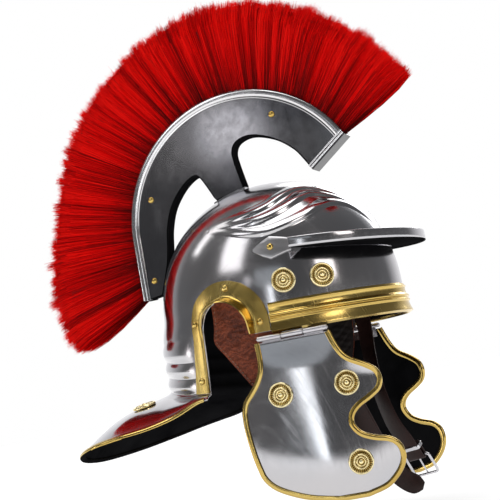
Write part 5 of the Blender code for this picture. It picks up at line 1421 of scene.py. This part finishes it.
def make_buckle(bar, run, wide, face):
    """A rounded rectangular wire frame and its prong."""
    half = BUCKLE_WIDTH / 2
    corners = np.array(((0, -half), (0, half), (BUCKLE_LENGTH, half), (BUCKLE_LENGTH, -half)), float)
    loop = []
    for n, corner in enumerate(corners):
        before = unit(corners[n - 1] - corner)
        after = unit(corners[(n + 1) % 4] - corner)
        for t in np.linspace(0, 1, 7):
            loop.append(corner + before * BUCKLE_CORNER * (1 - t) ** 2 + after * BUCKLE_CORNER * t**2)
    loop = np.array(loop)
    path = bar + run * loop[:, :1] + wide * loop[:, 1:]
    prong = curve([bar + face * out + run * along for along, out in PRONG], 6)
    angle = np.linspace(0, 2 * math.pi, 20, False)[:, None]
    round_bar = bar + (run * np.cos(angle) + face * np.sin(angle)) * PRONG_LOOP
    parts = [wire(path, BUCKLE_BAR, 14, True, face), wire(prong, PRONG_WIRE, 10, up=wide),
             wire(round_bar, LOOP_WIRE, 8, True, wide)]
    solid("buckle_wire", join(parts), "bright", "strap_buckle")


def make_keeper(centre, run, wide, face, half_gap):
    """A flat metal loop round both layers of the folded strap end."""
    room_wide = STRAP_WIDTH / 2 + FITTING_GAP + 0.5
    room_face = half_gap + LEATHER / 2 + FITTING_GAP + 0.5
    rows = []
    for a in np.radians(np.arange(0, 360, 7.5)):
        c, s = math.cos(a), math.sin(a)
        reach = (abs(c) ** 8 + abs(s) ** 8) ** (-1 / 8)
        out = unit(wide * c + face * s)
        middle = centre + wide * room_wide * c * reach + face * room_face * s * reach
        rows.append([middle + out * u + run * v for u, v in KEEPER])
    solid("strap_loop", sweep(rows, closed=True), "bright", "strap_keeper")


# Studio


def make_floor():
    mesh = bpy.data.meshes.new("floor")
    level = FLOOR_LEVEL * MM
    corners = [(x * FLOOR_HALF, y * FLOOR_HALF, level) for x, y in ((-1, -1), (1, -1), (1, 1), (-1, 1))]
    mesh.from_pydata(corners, [], [(0, 1, 2, 3)])
    mesh.materials.append(MATERIALS["floor"])
    floor = bpy.data.objects.new("floor", mesh)
    bpy.context.scene.collection.objects.link(floor)


def camera_axes():
    a, e, r = (math.radians(v) for v in (AZIMUTH, ELEVATION, ROLL))
    back = Vector((math.sin(a) * math.cos(e), -math.cos(a) * math.cos(e), math.sin(e)))
    level = Vector((math.cos(a), math.sin(a), 0))
    upright = level.cross(-back)
    right = level * math.cos(r) + upright * math.sin(r)
    up = upright * math.cos(r) - level * math.sin(r)
    return right, up, back


def make_camera():
    right, up, back = camera_axes()
    target = Vector(place(TARGET))
    camera = bpy.data.objects.new("camera", bpy.data.cameras.new("camera"))
    facing = Matrix((right, up, back)).transposed().to_4x4()
    camera.matrix_world = Matrix.Translation(target + back * DISTANCE * MM) @ facing
    camera.data.sensor_fit = "HORIZONTAL"
    camera.data.lens = FOCAL / FRAME_PIXELS * camera.data.sensor_width
    camera.data.clip_end = 100
    bpy.context.scene.collection.objects.link(camera)
    bpy.context.scene.camera = camera


def soft_box(name, aside, rise, away, width, height, power, colour):
    """An area light placed by its angle from the front, its elevation and its distance, facing the helmet."""
    a, e = math.radians(aside), math.radians(rise)
    place_at = Vector((math.sin(a) * math.cos(e), -math.cos(a) * math.cos(e), math.sin(e))) * away
    light = bpy.data.lights.new(name, "AREA")
    light.shape = "RECTANGLE"
    light.size, light.size_y = width, height
    light.energy = power
    light.color = colour
    lamp = bpy.data.objects.new(name, light)
    lamp.location = place_at
    lamp.rotation_euler = place_at.to_track_quat("Z", "Y").to_euler()
    bpy.context.scene.collection.objects.link(lamp)


def make_world():
    """A white wall behind the helmet and a darker room before it; seen directly, a plain pale backdrop."""
    world = bpy.data.worlds.new("studio")
    world.use_nodes = True
    nodes, links = world.node_tree.nodes, world.node_tree.links
    background = nodes["Background"]
    where = nodes.new("ShaderNodeTexCoord").outputs["Generated"]
    wall = nodes.new("ShaderNodeVectorMath")
    wall.operation = "DOT_PRODUCT"
    wall.inputs[1].default_value = WALL_DIRECTION
    links.new(where, wall.inputs[0])
    share = nodes.new("ShaderNodeMapRange")
    share.inputs["From Min"].default_value = -1
    links.new(wall.outputs["Value"], share.inputs["Value"])
    ramp = nodes.new("ShaderNodeValToRGB")
    links.new(share.outputs[0], ramp.inputs["Fac"])
    points = ramp.color_ramp.elements
    while len(points) < len(ROOM):
        points.new(0.5)
    for point, (place_at, level) in zip(points, ROOM):
        point.position = place_at
        point.color = (level, level, level * 1.02, 1)
    links.new(ramp.outputs["Color"], background.inputs["Color"])
    backdrop = nodes.new("ShaderNodeBackground")
    backdrop.inputs["Color"].default_value = (1, 1, 1, 1)
    choice = nodes.new("ShaderNodeMixShader")
    links.new(nodes.new("ShaderNodeLightPath").outputs["Is Camera Ray"], choice.inputs[0])
    links.new(background.outputs[0], choice.inputs[1])
    links.new(backdrop.outputs[0], choice.inputs[2])
    links.new(choice.outputs[0], nodes["World Output"].inputs["Surface"])
    bpy.context.scene.world = world
    bpy.context.scene.view_settings.view_transform = "Standard"


def make_studio():
    make_floor()
    make_camera()
    make_world()
    for light in LIGHTS:
        soft_box(*light)


MATERIALS = make_materials()
make_bowl()
make_guard_trim()
make_brow_band()
make_peak()
make_crest()
make_plume()
for side_name, side_sign in SIDES:
    make_ear_guard(side_name, side_sign)
    make_cheek(side_name, side_sign)
    make_hinge(side_name, side_sign)
    make_flap(side_name, side_sign)
make_fastenings()
make_straps()
make_studio()
